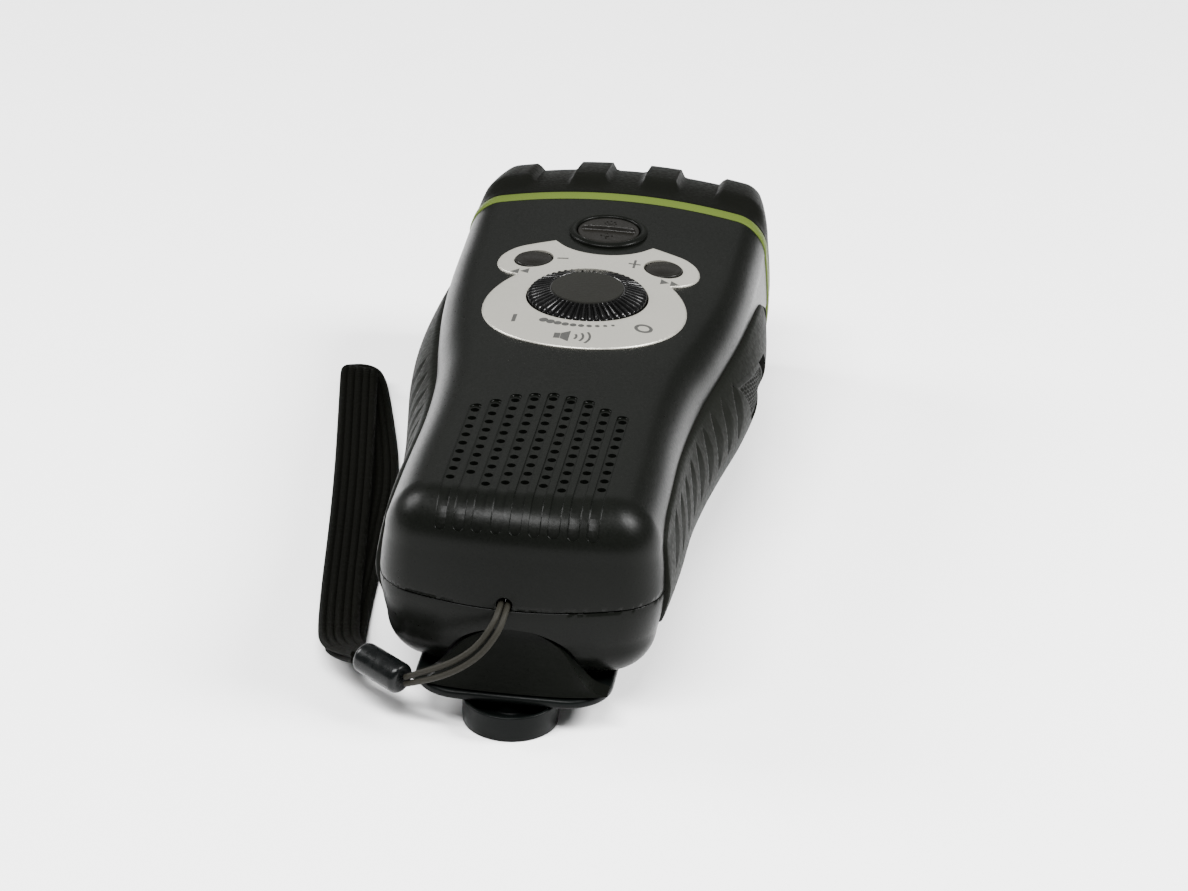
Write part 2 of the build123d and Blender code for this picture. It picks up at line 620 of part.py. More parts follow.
pieces = {
    "front_shell": largest(front),
    "back_shell": largest(back),
    "trim_ring": make_trim_ring(),
    "head_guard": make_head_guard(),
    "lens": make_lens(),
    "reflector": make_reflector(),
    "lamp_board": make_led_board(),
    "lamp_leds": make_leds(),
    "side_grip_left": grip_left,
    "side_grip_right": grip_right - pocket,
    "jack_cover": make_jack_cover(grip_right),
    "jack_socket": make_jack_socket(),
    "control_plate": make_plate(),
    "volume_dial": make_dial(),
    "dial_shaft": make_dial_shaft(),
    "volume_control": make_volume_control(),
    "scan_down_button": make_scan_button(-SCAN_X),
    "scan_up_button": make_scan_button(SCAN_X),
    "lamp_button": make_lamp_button(),
    "lamp_button_ring": make_lamp_ring(),
    "main_board": make_main_board(),
    "button_switches": make_switches(),
    "board_parts": make_board_parts(),
    "speaker_frame": make_speaker_frame(),
    "speaker_cone": make_speaker_cone(),
    "battery_cells": make_battery(),
    "battery_wrap": make_battery_wrap(),
    "gear_plate": make_gear_plate() - back,
    "crank_bush": make_bush(),
    "crank_shaft": make_crank_shaft(),
    "drive_gear": make_drive_gear(),
    "idler_gear": make_idler(),
    "idler_axle": make_axle(IDLER_AT),
    "dynamo_rotor": make_rotor(),
    "rotor_axle": make_axle(ROTOR_AT),
    "dynamo_coil": make_stator(),
    "crank_arm": make_crank_arm(),
    "crank_screw": make_crank_screw(),
    "crank_knob": make_knob(),
    "knob_pin": make_knob_pin(),
    "case_screws": group([cylinder(1.25, SCREW_SEAT, 40, at) + cylinder(2.6, SCREW_SEAT - 2, SCREW_SEAT, at)
                          for at in SCREW_AT]),
    "strap_pin": make_strap_pin(),
    "strap_cord_upper": cord_tube(CORD_UPPER, CORD_R),
    "strap_cord_lower": cord_tube(CORD_LOWER, CORD_R),
    "strap_clamp": make_strap_clamp(),
    "strap_webbing": ribbon(WEBBING, WEB_WIDE, WEB_THICK) - make_strap_clamp(),
}
for name, shape in pieces.items():
    save(shape, name)
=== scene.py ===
"""Looks for a wind-up torch radio: dense case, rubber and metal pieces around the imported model."""
import json
from math import asin, atan2, cos, hypot, pi, radians, sin, sqrt

import bmesh
import bpy
from mathutils import Matrix, Vector
from mathutils.bvhtree import BVHTree
from mathutils.interpolate import poly_3d_calc


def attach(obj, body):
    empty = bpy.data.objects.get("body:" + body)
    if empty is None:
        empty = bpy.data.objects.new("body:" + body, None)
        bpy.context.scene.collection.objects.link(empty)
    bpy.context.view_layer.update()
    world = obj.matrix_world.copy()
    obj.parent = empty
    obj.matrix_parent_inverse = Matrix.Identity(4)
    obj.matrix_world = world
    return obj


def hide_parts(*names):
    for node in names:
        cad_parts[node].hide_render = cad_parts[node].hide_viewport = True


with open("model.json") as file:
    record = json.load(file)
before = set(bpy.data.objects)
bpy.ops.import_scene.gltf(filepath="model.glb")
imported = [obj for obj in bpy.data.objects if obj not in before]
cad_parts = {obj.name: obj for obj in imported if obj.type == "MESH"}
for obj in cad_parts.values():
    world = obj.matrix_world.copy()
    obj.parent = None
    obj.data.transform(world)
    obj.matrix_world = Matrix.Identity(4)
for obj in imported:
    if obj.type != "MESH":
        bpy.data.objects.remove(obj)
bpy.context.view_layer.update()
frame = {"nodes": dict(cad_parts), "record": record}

# Everything below is in millimetres until make() writes it out in metres.
MM = 0.001
AXIS_R = 0.02  # the tiny radius where a turned piece's profile meets its axis

# ---- sizes shared with the model ----
BUTT_Y, PART_Z = -89.2, 27.0
TRIM_Y, GUARD_Y, HEAD_Y = 71.4, 74.3, 96.75
WALL = 2.0
DIAL_Y, DIAL_R = 18.75, 13.5
SCAN_X, SCAN_Y, SCAN_R = 15.0, 37.1, 4.3
LAMP_Y, LAMP_R, LAMP_RING_R = 53.7, 7.2, 9.1
HUB_Y, KNOB_Y, KNOB_R, KNOB_HIGH = -64.5, -86.55, 10.2, 5.8
ARM_LOW, ARM_TOP, ARM_HALF, ARM_END_Y = 6.1, 8.1, 21.0, -91.55
GRILLE_PITCH, GRILLE_HOLE_R = 4.0, 0.95
GRILLE_ROWS = [9, 9, 11, 11, 11, 11, 11, 9, 9]
GRILLE_TOPS = [-40.1, -37.9, -35.2, -34.2, -33.5]
CORD_R, WEB_WIDE, CLAMP_R, CLAMP_ROUND = 0.65, 9.0, 3.4, 2.0
CLAMP_ENDS = [(-32.0, -85.5, 11.2), (-22.0, -92.5, 10.2)]
CORD_UPPER = [
    (-2.2, -86.4, 28.5), (-2.2, -91.0, 28.3), (-3.0, -94.0, 26.2), (-5.8, -95.4, 21.8),
    (-9.4, -95.8, 18.6), (-13.6, -95.6, 16.0), (-18.0, -94.6, 13.6), (-21.4, -92.9, 11.2),
]
CORD_LOWER = [
    (-0.8, -86.4, 28.2), (-0.8, -91.4, 27.9), (-1.6, -94.8, 25.2), (-4.6, -96.2, 20.6),
    (-8.4, -96.6, 17.2), (-12.8, -96.4, 14.4), (-17.4, -95.2, 12.0), (-21.4, -92.9, 9.6),
]
WEBBING = [
    (-32.0, -85.5, 11.8), (-38.2, -76.0, 7.2), (-42.6, -58.0, 2.6), (-51.0, 5.0, 2.4),
    (-59.0, 54.0, 3.6), (-60.2, 62.0, 6.2), (-59.4, 64.5, 3.4), (-57.0, 60.0, 1.0),
    (-46.5, 18.0, 0.8), (-44.0, -10.0, 0.8), (-41.0, -56.0, 0.8), (-37.6, -76.0, 5.4),
    (-32.0, -85.5, 10.4),
]

# ---- camera ----
CAMERA_AT = (0.12168, -0.92015, 0.48868)
CAMERA_TURN, CAMERA_RISE, CAMERA_ROLL = radians(7.23), radians(26.71), radians(1.78)
CAMERA_LENS = 139.93


def make_camera():
    back = Vector((sin(CAMERA_TURN) * cos(CAMERA_RISE), -cos(CAMERA_TURN) * cos(CAMERA_RISE),
                   sin(CAMERA_RISE)))
    right = Vector((cos(CAMERA_TURN), sin(CAMERA_TURN), 0.0))
    up = back.cross(right)
    right, up = (cos(CAMERA_ROLL) * right + sin(CAMERA_ROLL) * up,
                 cos(CAMERA_ROLL) * up - sin(CAMERA_ROLL) * right)
    data = bpy.data.cameras.new("camera")
    data.lens, data.sensor_width = CAMERA_LENS, 36.0
    data.clip_start = 0.01
    camera = bpy.data.objects.new("camera", data)
    bpy.context.collection.objects.link(camera)
    turn = Matrix((right, up, back)).transposed().to_4x4()
    camera.matrix_world = Matrix.Translation(CAMERA_AT) @ turn
    bpy.context.scene.camera = camera


# ---- mesh helpers ----
def make(name, verts, faces, material=None, sharp=40.0):
    mesh = bpy.data.meshes.new(name)
    mesh.from_pydata([(x * MM, y * MM, z * MM) for x, y, z in verts], [], faces)
    work = bmesh.new()
    work.from_mesh(mesh)
    bmesh.ops.recalc_face_normals(work, faces=work.faces)
    work.to_mesh(mesh)
    work.free()
    mesh.shade_smooth()
    mesh.set_sharp_from_angle(angle=radians(sharp))
    if material:
        mesh.materials.append(material)
    obj = bpy.data.objects.new(name, mesh)
    bpy.context.collection.objects.link(obj)
    return obj


def lattice(rows, columns, wrap_rows=False, wrap_columns=False, start=0):
    """Quads over rows x columns vertices; the faces look out for rows along +a, columns along +b."""
    faces = []
    for r in range(rows if wrap_rows else rows - 1):
        for c in range(columns if wrap_columns else columns - 1):
            r1, c1 = (r + 1) % rows, (c + 1) % columns
            faces.append((start + r * columns + c, start + r * columns + c1,
                          start + r1 * columns + c1, start + r1 * columns + c))
    return faces


def rounded(points, radius, steps=5):
    """An open path with its inner corners rounded."""
    out = [points[0]]
    for a, b, c in zip(points, points[1:], points[2:]):
        va, vc = Vector(a) - Vector(b), Vector(c) - Vector(b)
        cut = min(radius, 0.45 * va.length, 0.45 * vc.length)
        p, q = Vector(b) + va.normalized() * cut, Vector(b) + vc.normalized() * cut
        for i in range(steps + 1):
            t = i / steps
            out.append(tuple((1 - t) ** 2 * p + 2 * t * (1 - t) * Vector(b) + t * t * q))
    return out + [points[-1]]


def round_turn(steps):
    return [2 * pi * i / steps for i in range(steps)]


def end_caps(rows, columns):
    """The two end faces of a tube of rows x columns vertices."""
    return [tuple(reversed(range(columns))), tuple((rows - 1) * columns + i for i in range(columns))]


def turned(name, profile, at, material=None, steps=96, wave=None, sharp=40.0):
    """A turned piece from (radius, z) points run from its lowest axis point round to its top."""
    verts = []
    for radius, z in profile:
        for a in round_turn(steps):
            r, h = wave(radius, z, a) if wave else (radius, z)
            verts.append((at[0] + r * cos(a), at[1] + r * sin(a), h))
    rows = len(profile)
    return make(name, verts, lattice(rows, steps, wrap_columns=True) + end_caps(rows, steps), material, sharp)


def hoop(name, section, at_y, steps):
    """A ring turned about an upright axis from its closed (radius, z) section."""
    verts = [(r * cos(a), at_y + r * sin(a), z) for r, z in section for a in round_turn(steps)]
    return make(name, verts, lattice(len(section), steps, wrap_rows=True, wrap_columns=True))


def slab_faces(rows, columns):
    """A closed slab: a sheet of rows x columns vertices, the same again behind it, and its edge."""
    sheet, count = lattice(rows, columns), rows * columns
    rim = list(range(columns)) + [r * columns + columns - 1 for r in range(1, rows)]
    rim += [(rows - 1) * columns + c for c in reversed(range(columns - 1))]
    rim += [r * columns for r in reversed(range(1, rows - 1))]
    edge = [(a, count + a, count + b, b) for a, b in zip(rim, rim[1:] + rim[:1])]
    return sheet + [tuple(count + i for i in reversed(f)) for f in sheet] + edge


def smooth_line(knots):
    """A smooth curve through (place, value) knots."""
    slopes = []
    for i in range(len(knots)):
        a, b = knots[max(i - 1, 0)], knots[min(i + 1, len(knots) - 1)]
        slopes.append((b[1] - a[1]) / (b[0] - a[0]))

    def value(y):
        if y <= knots[0][0]:
            return knots[0][1]
        for i in range(len(knots) - 1):
            (y0, v0), (y1, v1) = knots[i], knots[i + 1]
            if y <= y1:
                h, t = y1 - y0, (y - y0) / (y1 - y0)
                return ((2 * t ** 3 - 3 * t * t + 1) * v0 + (t ** 3 - 2 * t * t + t) * h * slopes[i]
                        + (3 * t * t - 2 * t ** 3) * v1 + (t ** 3 - t * t) * h * slopes[i + 1])
        return knots[-1][1]
    return value


def step(low, high, x):
    t = min(1.0, max(0.0, (x - low) / (high - low)))
    return t * t * (3 - 2 * t)


# ---- materials ----
CLOUD_SCALE, GRAIN_HIGH = 30.0, 0.0002


def set_inputs(node, **values):
    """Set a node's inputs by their names, with _ for a space."""
    for name, value in values.items():
        node.inputs[name.replace("_", " ")].default_value = value


def noise(tree, place, scale, detail):
    node = tree.nodes.new("ShaderNodeTexNoise")
    set_inputs(node, Scale=scale, Detail=detail)
    tree.links.new(place, node.inputs["Vector"])
    return node.outputs["Fac"]


def material(name, colour, rough=0.5, metal=0.0, grain=400.0, grain_bump=0.1, tint=0.12,
             rough_spread=0.08, specular=0.5, through=0.0, weave=None, brushed=0.0):
    """Moulded, painted, woven or metal: cloudy colour, a fine grain and an uneven gloss."""
    mat = bpy.data.materials.new(name)
    mat.use_nodes = True
    tree = mat.node_tree
    nodes, links = tree.nodes, tree.links
    shader = nodes["Principled BSDF"]
    set_inputs(shader, Metallic=metal, Specular_IOR_Level=specular, Transmission_Weight=through)
    place = nodes.new("ShaderNodeTexCoord").outputs["Object"]
    ramp = nodes.new("ShaderNodeValToRGB")
    for stop, at, change in zip(ramp.color_ramp.elements, (0.3, 0.7), (-tint, tint)):
        stop.position = at
        stop.color = (*[min(1, c * (1 + change)) for c in colour], 1)
    links.new(noise(tree, place, CLOUD_SCALE, 4.0), ramp.inputs["Fac"])
    links.new(ramp.outputs["Color"], shader.inputs["Base Color"])
    fine_place = place
    if brushed:
        stretch = nodes.new("ShaderNodeMapping")
        set_inputs(stretch, Scale=(1.0, brushed, 1.0))
        links.new(place, stretch.inputs["Vector"])
        fine_place = stretch.outputs["Vector"]
    height = noise(tree, fine_place, grain, 3.0)
    gloss = nodes.new("ShaderNodeMapRange")
    set_inputs(gloss, From_Min=0.3, From_Max=0.7, To_Min=max(0.03, rough - rough_spread),
               To_Max=min(1.0, rough + rough_spread))
    links.new(height, gloss.inputs["Value"])
    links.new(gloss.outputs["Result"], shader.inputs["Roughness"])
    if weave:
        threads = nodes.new("ShaderNodeTexWave")
        set_inputs(threads, Scale=weave, Distortion=1.5, Detail_Scale=3.0)
        threads.bands_direction = "Y"
        links.new(place, threads.inputs["Vector"])
        both = nodes.new("ShaderNodeMath")
        both.operation = "ADD"
        links.new(threads.outputs["Fac"], both.inputs[0])
        links.new(height, both.inputs[1])
        height = both.outputs["Value"]
    bump = nodes.new("ShaderNodeBump")
    set_inputs(bump, Strength=grain_bump, Distance=GRAIN_HIGH)
    links.new(height, bump.inputs["Height"])
    links.new(bump.outputs["Normal"], shader.inputs["Normal"])
    return mat


SLOTS = {name: material(name, colour, rough, **more) for name, colour, rough, more in (
    ("case_plastic", (0.0021, 0.0024, 0.0019), 0.32,
     dict(grain=1600, grain_bump=0.08, specular=0.055, rough_spread=0.05)),
    ("grip_rubber", (0.0036, 0.0040, 0.0031), 0.55, dict(grain=1100, grain_bump=0.22, specular=0.03)),
    ("guard_rubber", (0.0020, 0.0022, 0.0016), 0.5, dict(grain=1200, grain_bump=0.2, specular=0.03)),
    ("trim_olive", (0.046, 0.066, 0.0105), 0.5, dict(grain=1300, specular=0.06)),
    ("plate_silver", (0.39, 0.38, 0.335), 0.36, dict(metal=0.7, grain=900, grain_bump=0.05, tint=0.04)),
    ("dial_black", (0.0025, 0.0025, 0.0025), 0.2, dict(grain=900, grain_bump=0.04, specular=0.25)),
    ("button_black", (0.0044, 0.0041, 0.0034), 0.34, dict(grain=1500, specular=0.1)),
    ("crank_plastic", (0.0014, 0.0019, 0.0017), 0.36, dict(grain=1300, specular=0.06)),
    ("clamp_gloss", (0.002, 0.0024, 0.0024), 0.28, dict(grain=500, grain_bump=0.03, specular=0.14)),
    ("strap_fabric", (0.0014, 0.0015, 0.0009), 0.7,
     dict(grain=2500, grain_bump=0.6, weave=900, specular=0.03)),
    ("clear_lens", (0.95, 0.96, 0.97), 0.04,
     dict(grain=300, grain_bump=0.01, through=1.0, rough_spread=0.01, tint=0.01)),
    ("reflector_chrome", (0.85, 0.86, 0.87), 0.08,
     dict(metal=1.0, grain=500, grain_bump=0.02, rough_spread=0.03, tint=0.02)),
    ("led_clear", (0.93, 0.94, 0.90), 0.08, dict(grain=600, grain_bump=0.02, through=0.8)),
    ("board_green", (0.02, 0.16, 0.05), 0.35, dict(grain=700, grain_bump=0.12)),
    ("component_black", (0.02, 0.02, 0.022), 0.4, dict(grain=900, grain_bump=0.12)),
    ("speaker_steel", (0.42, 0.42, 0.43), 0.32, dict(metal=1.0, grain=500)),
    ("speaker_paper", (0.03, 0.03, 0.032), 0.9, dict(grain=1500, grain_bump=0.4)),
    ("cell_steel", (0.10, 0.26, 0.16), 0.3, dict(grain=500, grain_bump=0.05)),
    ("wrap_plastic", (0.05, 0.12, 0.30), 0.28, dict(grain=300, grain_bump=0.15)),
    ("gear_nylon", (0.78, 0.76, 0.68), 0.42, dict(grain=700, grain_bump=0.08)),
    ("steel", (0.50, 0.50, 0.51), 0.27, dict(metal=1.0, grain=800, grain_bump=0.08)),
    ("bush_brass", (0.63, 0.45, 0.18), 0.28, dict(metal=1.0, grain=700, grain_bump=0.08)),
    ("magnet", (0.06, 0.06, 0.065), 0.5, dict(grain=600, grain_bump=0.2)),
    ("coil_copper", (0.60, 0.24, 0.09), 0.32, dict(metal=1.0, grain=900, grain_bump=0.3, brushed=12.0)),
)}
DIAL_CAP = material("dial_cap_grey", (0.0086, 0.0086, 0.0074), 0.5, grain=1500, specular=0.06)
CORD_BRAID = material("cord_braid", (0.0105, 0.0098, 0.0072), 0.6, grain=2500, grain_bump=0.4,
                      specular=0.1)
INK = material("mark_ink", (0.02, 0.02, 0.018), 0.6, grain=1500)


def dress(obj, slot_name, body, *replaced):
    """Give a piece its material, the body that it rides on and the nodes that it stands for."""
    if not obj.data.materials:
        obj.data.materials.append(SLOTS[slot_name])
    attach(obj, body)
    if replaced:
        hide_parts(*replaced)
    return obj


# ---- wrist strap ----
def route(points):
    """Points along the smooth line that a cord or the webbing follows."""
    curve = bpy.data.curves.new("route", "CURVE")
    curve.dimensions = "3D"
    curve.resolution_u = 40
    spline = curve.splines.new("NURBS")
    spline.points.add(len(points) - 1)
    for knot, at in zip(spline.points, points):
        knot.co = (*[c * MM for c in at], 1.0)
    spline.order_u = 3
    spline.use_endpoint_u = True
    obj = bpy.data.objects.new("route", curve)
    bpy.context.collection.objects.link(obj)
    mesh = bpy.data.meshes.new_from_object(obj)
    line = [Vector(v.co) / MM for v in mesh.vertices]
    bpy.data.objects.remove(obj)
    even = [line[0]]
    for p in line[1:]:
        if (p - even[-1]).length > 0.12:
            even.append(p)
    return even


def swept(name, line, section, columns):
    """A piece along a line; section(along, turn) gives a point's place across and above it."""
    verts, along = [], 0.0
    for i, at in enumerate(line):
        before, after = line[max(i - 1, 0)], line[min(i + 1, len(line) - 1)]
        ahead = (after - before).normalized()
        across = ahead.cross(Vector((0, 0, 1))).normalized()
        above = across.cross(ahead)
        along += (at - line[max(i - 1, 0)]).length
        for c in range(columns):
            u, v = section(along, 2 * pi * c / columns)
            verts.append(tuple(at + u * across + v * above))
    faces = lattice(len(line), columns, wrap_columns=True) + end_caps(len(line), columns)
    return make(name, verts, faces, sharp=60.0)


BRAID_LAY, BRAID_YARNS, BRAID_LOW, BRAID_HIGH = 2.6, 4, 0.93, 0.09
WEB_RIBS, WEB_VALLEY, WEB_RIB_HIGH, WEFT_HIGH, WEFT_PITCH = 5, 0.10, 0.52, 0.04, 0.9
WEB_GATHER, GATHER_FROM, GATHER_TO = 0.42, 1.0, 15.0


def braid(along, turn):
    """A round cord of plaited yarns: two sets of helices that cross."""
    lay = 2 * (2 * pi * along / BRAID_LAY)
    over = max(abs(sin(BRAID_YARNS * turn + lay)), abs(sin(BRAID_YARNS * turn - lay)))
    radius = CORD_R * (BRAID_LOW + BRAID_HIGH * over)
    return radius * cos(turn), radius * sin(turn)


def webbing_section(total):
    """Flat webbing with lengthwise ribs and the crosswise rise of its weft, gathered at its ends."""
    def section(along, turn):
        gather = 1 - WEB_GATHER * (1 - step(GATHER_FROM, GATHER_TO, min(along, total - along)))
        u = WEB_WIDE / 2 * cos(turn)
        rib = abs(cos(WEB_RIBS * pi * u / WEB_WIDE)) ** 0.6
        weft = WEFT_HIGH * sin(2 * pi * along / WEFT_PITCH) * rib
        edge = (1 - abs(cos(turn)) ** 8) ** 0.5
        v = (WEB_VALLEY + WEB_RIB_HIGH * rib + weft) * edge / gather ** 0.5
        return u * gather, v if sin(turn) >= 0 else -v
    return section


def make_strap():
    clamp_a, clamp_b = Vector(CLAMP_ENDS[0]), Vector(CLAMP_ENDS[1])
    long = (clamp_b - clamp_a).length
    profile = rounded([(AXIS_R, -long / 2), (CLAMP_R, -long / 2), (CLAMP_R, long / 2), (AXIS_R, long / 2)],
                      CLAMP_ROUND, 10)
    clamp = turned("strap_clamp_barrel", profile, (0, 0))
    axis = (clamp_b - clamp_a).normalized()
    place = Matrix.Translation((clamp_a + clamp_b) / 2 * MM) @ Vector((0, 0, 1)).rotation_difference(
        axis).to_matrix().to_4x4()
    clamp.data.transform(place)
    dress(clamp, "clamp_gloss", "case", "strap_clamp")
    strands = (("strap_cord_upper", CORD_UPPER, "fitting", 0.0325),
               ("strap_cord_lower", CORD_LOWER, "object", 0.0355))
    for node, points, end, length in strands:
        line = route(points)
        cord = swept(node + "_braid", line, braid, 32)
        cord.data.materials.append(CORD_BRAID)
        dress(cord, "strap_fabric", "case", node)
        out = Vector(points[1])
        out.y = BUTT_Y
    line = route(WEBBING)
    length = sum((b - a).length for a, b in zip(line, line[1:]))
    web = swept("strap_webbing_loop", line, webbing_section(length), 120)
    dress(web, "strap_fabric", "case", "strap_webbing")


make_camera()
make_strap()

# ---- case ----
half_width = smooth_line([(-75.0, 30.35), (-55.0, 30.3), (-30.0, 29.8), (-10.0, 30.7), (8.0, 33.2),
                          (25.0, 35.2), (42.0, 36.1), (58.0, 36.2), (TRIM_Y, 36.2)])
crown_height = smooth_line([(-90.0, 49.6), (-75.0, 49.7), (-10.0, 49.8), (25.0, 50.0), (42.0, 50.3),
                            (58.0, 50.7), (TRIM_Y, 51.2)])
keel_height = smooth_line([(-90.0, 8.5), (-30.0, 8.5), (-10.0, 8.4), (8.0, 7.6), (25.0, 6.0),
                           (42.0, 4.2), (58.0, 2.8), (TRIM_Y, 1.8)])
shoulder_radius = smooth_line([(-90.0, 10.0), (-75.0, 10.0), (-30.0, 9.5), (20.0, 8.0), (TRIM_Y, 7.0)])
keel_radius = smooth_line([(-90.0, 8.5), (-75.0, 9.0), (20.0, 10.0), (TRIM_Y, 9.0)])
CROWN_BEND, FRONT_LEAN, BACK_LEAN = 280.0, 1.0, 1.6
END_BEND, CORNER_R = 114.0, 12.6


def crown(x, y):
    return crown_height(y) - x * x / CROWN_BEND


def outline():
    """The case seen from above at its parting line, from the left side of the head round the butt,
    as (x, y, inward x, inward y)."""
    centre_x = half_width(-75.0) - CORNER_R
    reach = centre_x
    for _ in range(8):
        reach = centre_x + CORNER_R * sin(atan2(2 * reach / END_BEND, 1.0))
    slope = atan2(2 * reach / END_BEND, 1.0)
    centre_y = BUTT_Y + reach ** 2 / END_BEND + CORNER_R * cos(slope)
    points = [(reach * i / 18, BUTT_Y + (reach * i / 18) ** 2 / END_BEND) for i in range(18)]
    for i in range(20):
        a = -pi / 2 + slope + (pi / 2 - slope) * i / 20
        points.append((centre_x + CORNER_R * cos(a), centre_y + CORNER_R * sin(a)))
    sides = 96
    for i in range(sides + 1):
        y = centre_y + (TRIM_Y - centre_y) * i / sides
        points.append((half_width(y), y))
    ring = [(-x, y) for x, y in reversed(points[1:])] + points
    rows = []
    for i, (x, y) in enumerate(ring):
        a, b = ring[max(i - 1, 0)], ring[min(i + 1, len(ring) - 1)]
        tx, ty = b[0] - a[0], b[1] - a[1]
        size = hypot(tx, ty)
        nx, ny = -ty / size, tx / size
        ny *= 1 - step(TRIM_Y - 12, TRIM_Y - 1, y)
        rows.append((x, y, nx, ny))
    return rows


OUTLINE = outline()
RUNGS = 44


def skin(front, inset):
    """Rows of points over one half of the case: up its wall, round its shoulder and across its crown."""
    rows = []
    lean = FRONT_LEAN if front else BACK_LEAN
    rows += [(0.45, None, 0.004), (0.12, None, 0.02)]
    for k in range(1, 8):
        t = k / 8
        rows.append((lean * t ** 1.6, None, t))
    for k in range(13):
        rows.append((None, pi / 2 * k / 12, None))
    points = []
    for flat, angle, t in rows:
        row = []
        for x, y, nx, ny in OUTLINE:
            radius = (shoulder_radius(y) if front else keel_radius(y)) - inset
            depth = inset + (flat if angle is None else lean + radius * (1 - cos(angle)))
            px, py = x + nx * depth, y + ny * depth
            if front:
                top = crown(px, py) - inset
                rim = top - radius
            else:
                top = keel_height(py) + inset
                rim = top + radius
            if angle is None:
                z = PART_Z + (rim - PART_Z) * t
            else:
                z = rim + (top - rim) * sin(angle)
            row.append((px, py, z))
        points.append(row)
    return points


def half_case(name, front):
    """A hollow half of the case, before anything is cut in it."""
    verts, faces = [], []
    loops = []
    for inset in (0.0, WALL):
        rows = skin(front, inset)
        start, columns = len(verts), len(OUTLINE)
        for row in rows:
            verts += row
        sheet = lattice(len(rows), columns, start=start)
        middle = columns // 2
        last = start + (len(rows) - 1) * columns
        ladder = []
        for i in range(middle):
            left, right = Vector(rows[-1][i]), Vector(rows[-1][columns - 1 - i])
            rung = [last + i]
            for k in range(1, RUNGS):
                p = left.lerp(right, k / RUNGS)
                z = crown(p.x, p.y) - inset if front else keel_height(p.y) + inset
                verts.append((p.x, p.y, z))
                rung.append(len(verts) - 1)
            ladder.append(rung + [last + columns - 1 - i])
        for a, b in zip(ladder, ladder[1:]):
            sheet += [(a[k], b[k], b[k + 1], a[k + 1]) for k in range(RUNGS)]
        tip = last + middle
        sheet += [(ladder[-1][k], tip, ladder[-1][k + 1]) for k in range(RUNGS)]
        if (inset == 0.0) != front:
            sheet = [tuple(reversed(f)) for f in sheet]
        faces += sheet
        foot = [start + i for i in range(columns)]
        side = [start + r * columns for r in range(len(rows))]
        far_side = [first + columns - 1 for first in reversed(side)]
        head = side + ladder[0][1:-1] + far_side
        loops.append((foot, head))
    for outer, inner, turn in ((loops[0][0], loops[1][0], front), (loops[0][1], loops[1][1], not front)):
        rim = [(outer[i], inner[i], inner[i + 1], outer[i + 1]) for i in range(len(outer) - 1)]
        faces += [tuple(reversed(f)) if turn else f for f in rim]
    return make(name, verts, faces, SLOTS["case_plastic"], sharp=50.0)


def join_meshes(name, pieces):
    """One object from several, by their vertices and faces."""
    verts, faces = [], []
    for piece in pieces:
        start = len(verts)
        verts += [tuple(v.co / MM) for v in piece.data.vertices]
        faces += [tuple(start + i for i in p.vertices) for p in piece.data.polygons]
        bpy.data.objects.remove(piece)
    return make(name, verts, faces)


def reshape(obj, steps, reach=0.004):
    """Cut and join (operation, tool) pieces. Faces within reach of the uncut surface, and along it,
    keep its smooth normals."""
    mesh = obj.data
    tree = BVHTree.FromObject(obj, bpy.context.evaluated_depsgraph_get())
    corners = [[mesh.vertices[i].co.copy() for i in p.vertices] for p in mesh.polygons]
    normals = [[mesh.vertices[i].normal.copy() for i in p.vertices] for p in mesh.polygons]
    flats = [p.normal.copy() for p in mesh.polygons]
    for operation, tool in steps:
        mod = obj.modifiers.new("cut", "BOOLEAN")
        mod.operation, mod.solver, mod.object = operation, "EXACT", tool
    bpy.context.view_layer.update()
    graph = bpy.context.evaluated_depsgraph_get()
    result = bpy.data.meshes.new_from_object(obj.evaluated_get(graph))
    obj.modifiers.clear()
    obj.data = result
    for _, tool in steps:
        bpy.data.objects.remove(tool)
    wanted = []
    for poly in result.polygons:
        for loop in poly.loop_indices:
            at = result.vertices[result.loops[loop].vertex_index].co
            near = tree.find_nearest(at + poly.normal * 1e-6)
            normal = poly.normal
            if near[3] < reach * MM and flats[near[2]].dot(poly.normal) > 0.9:
                shares = poly_3d_calc(corners[near[2]], near[0])
                normal = sum((n * s for n, s in zip(normals[near[2]], shares)), Vector()).normalized()
            wanted.append(normal)
    result.polygons.foreach_set("use_smooth", [True] * len(result.polygons))
    result.normals_split_custom_set(wanted)
    return obj


def rod(radius, low, high, at, steps=32, lengthwise=False):
    """A plain cylinder used as a cutter, upright or along Y."""
    verts = []
    for end in (low, high):
        for a in round_turn(steps):
            u, v = at[0] + radius * cos(a), at[1] + radius * sin(a)
            verts.append((u, end, v) if lengthwise else (u, v, end))
    return make("rod", verts, lattice(2, steps, wrap_columns=True) + end_caps(2, steps))


BEVEL_Y, BEVEL_Z, BEVEL_TURN = -77.0, 38.0, 2.1
GROOVE_HALF, GROOVE_DEEP, GROOVE_CLEAR, FLOOR_ROUND = 1.3, 0.45, 2.5, 0.12


def surface_line(tree, x, start_y):
    """The case's profile along Y at x, from start_y over the near bevel, with its normals."""
    line = []
    y = start_y
    while y > BEVEL_Y:
        hit = tree.ray_cast(Vector((x, y, 80)) * MM, Vector((0, 0, -1)))
        line.append((hit[0] / MM, hit[1]))
        y -= 1.2
    pivot = Vector((x, BEVEL_Y, BEVEL_Z))
    for k in range(30):
        a = radians(BEVEL_TURN * k)
        way = Vector((0, -sin(a), cos(a)))
        hit = tree.ray_cast((pivot + way * 40) * MM, -way)
        line.append((hit[0] / MM, hit[1]))
    return line


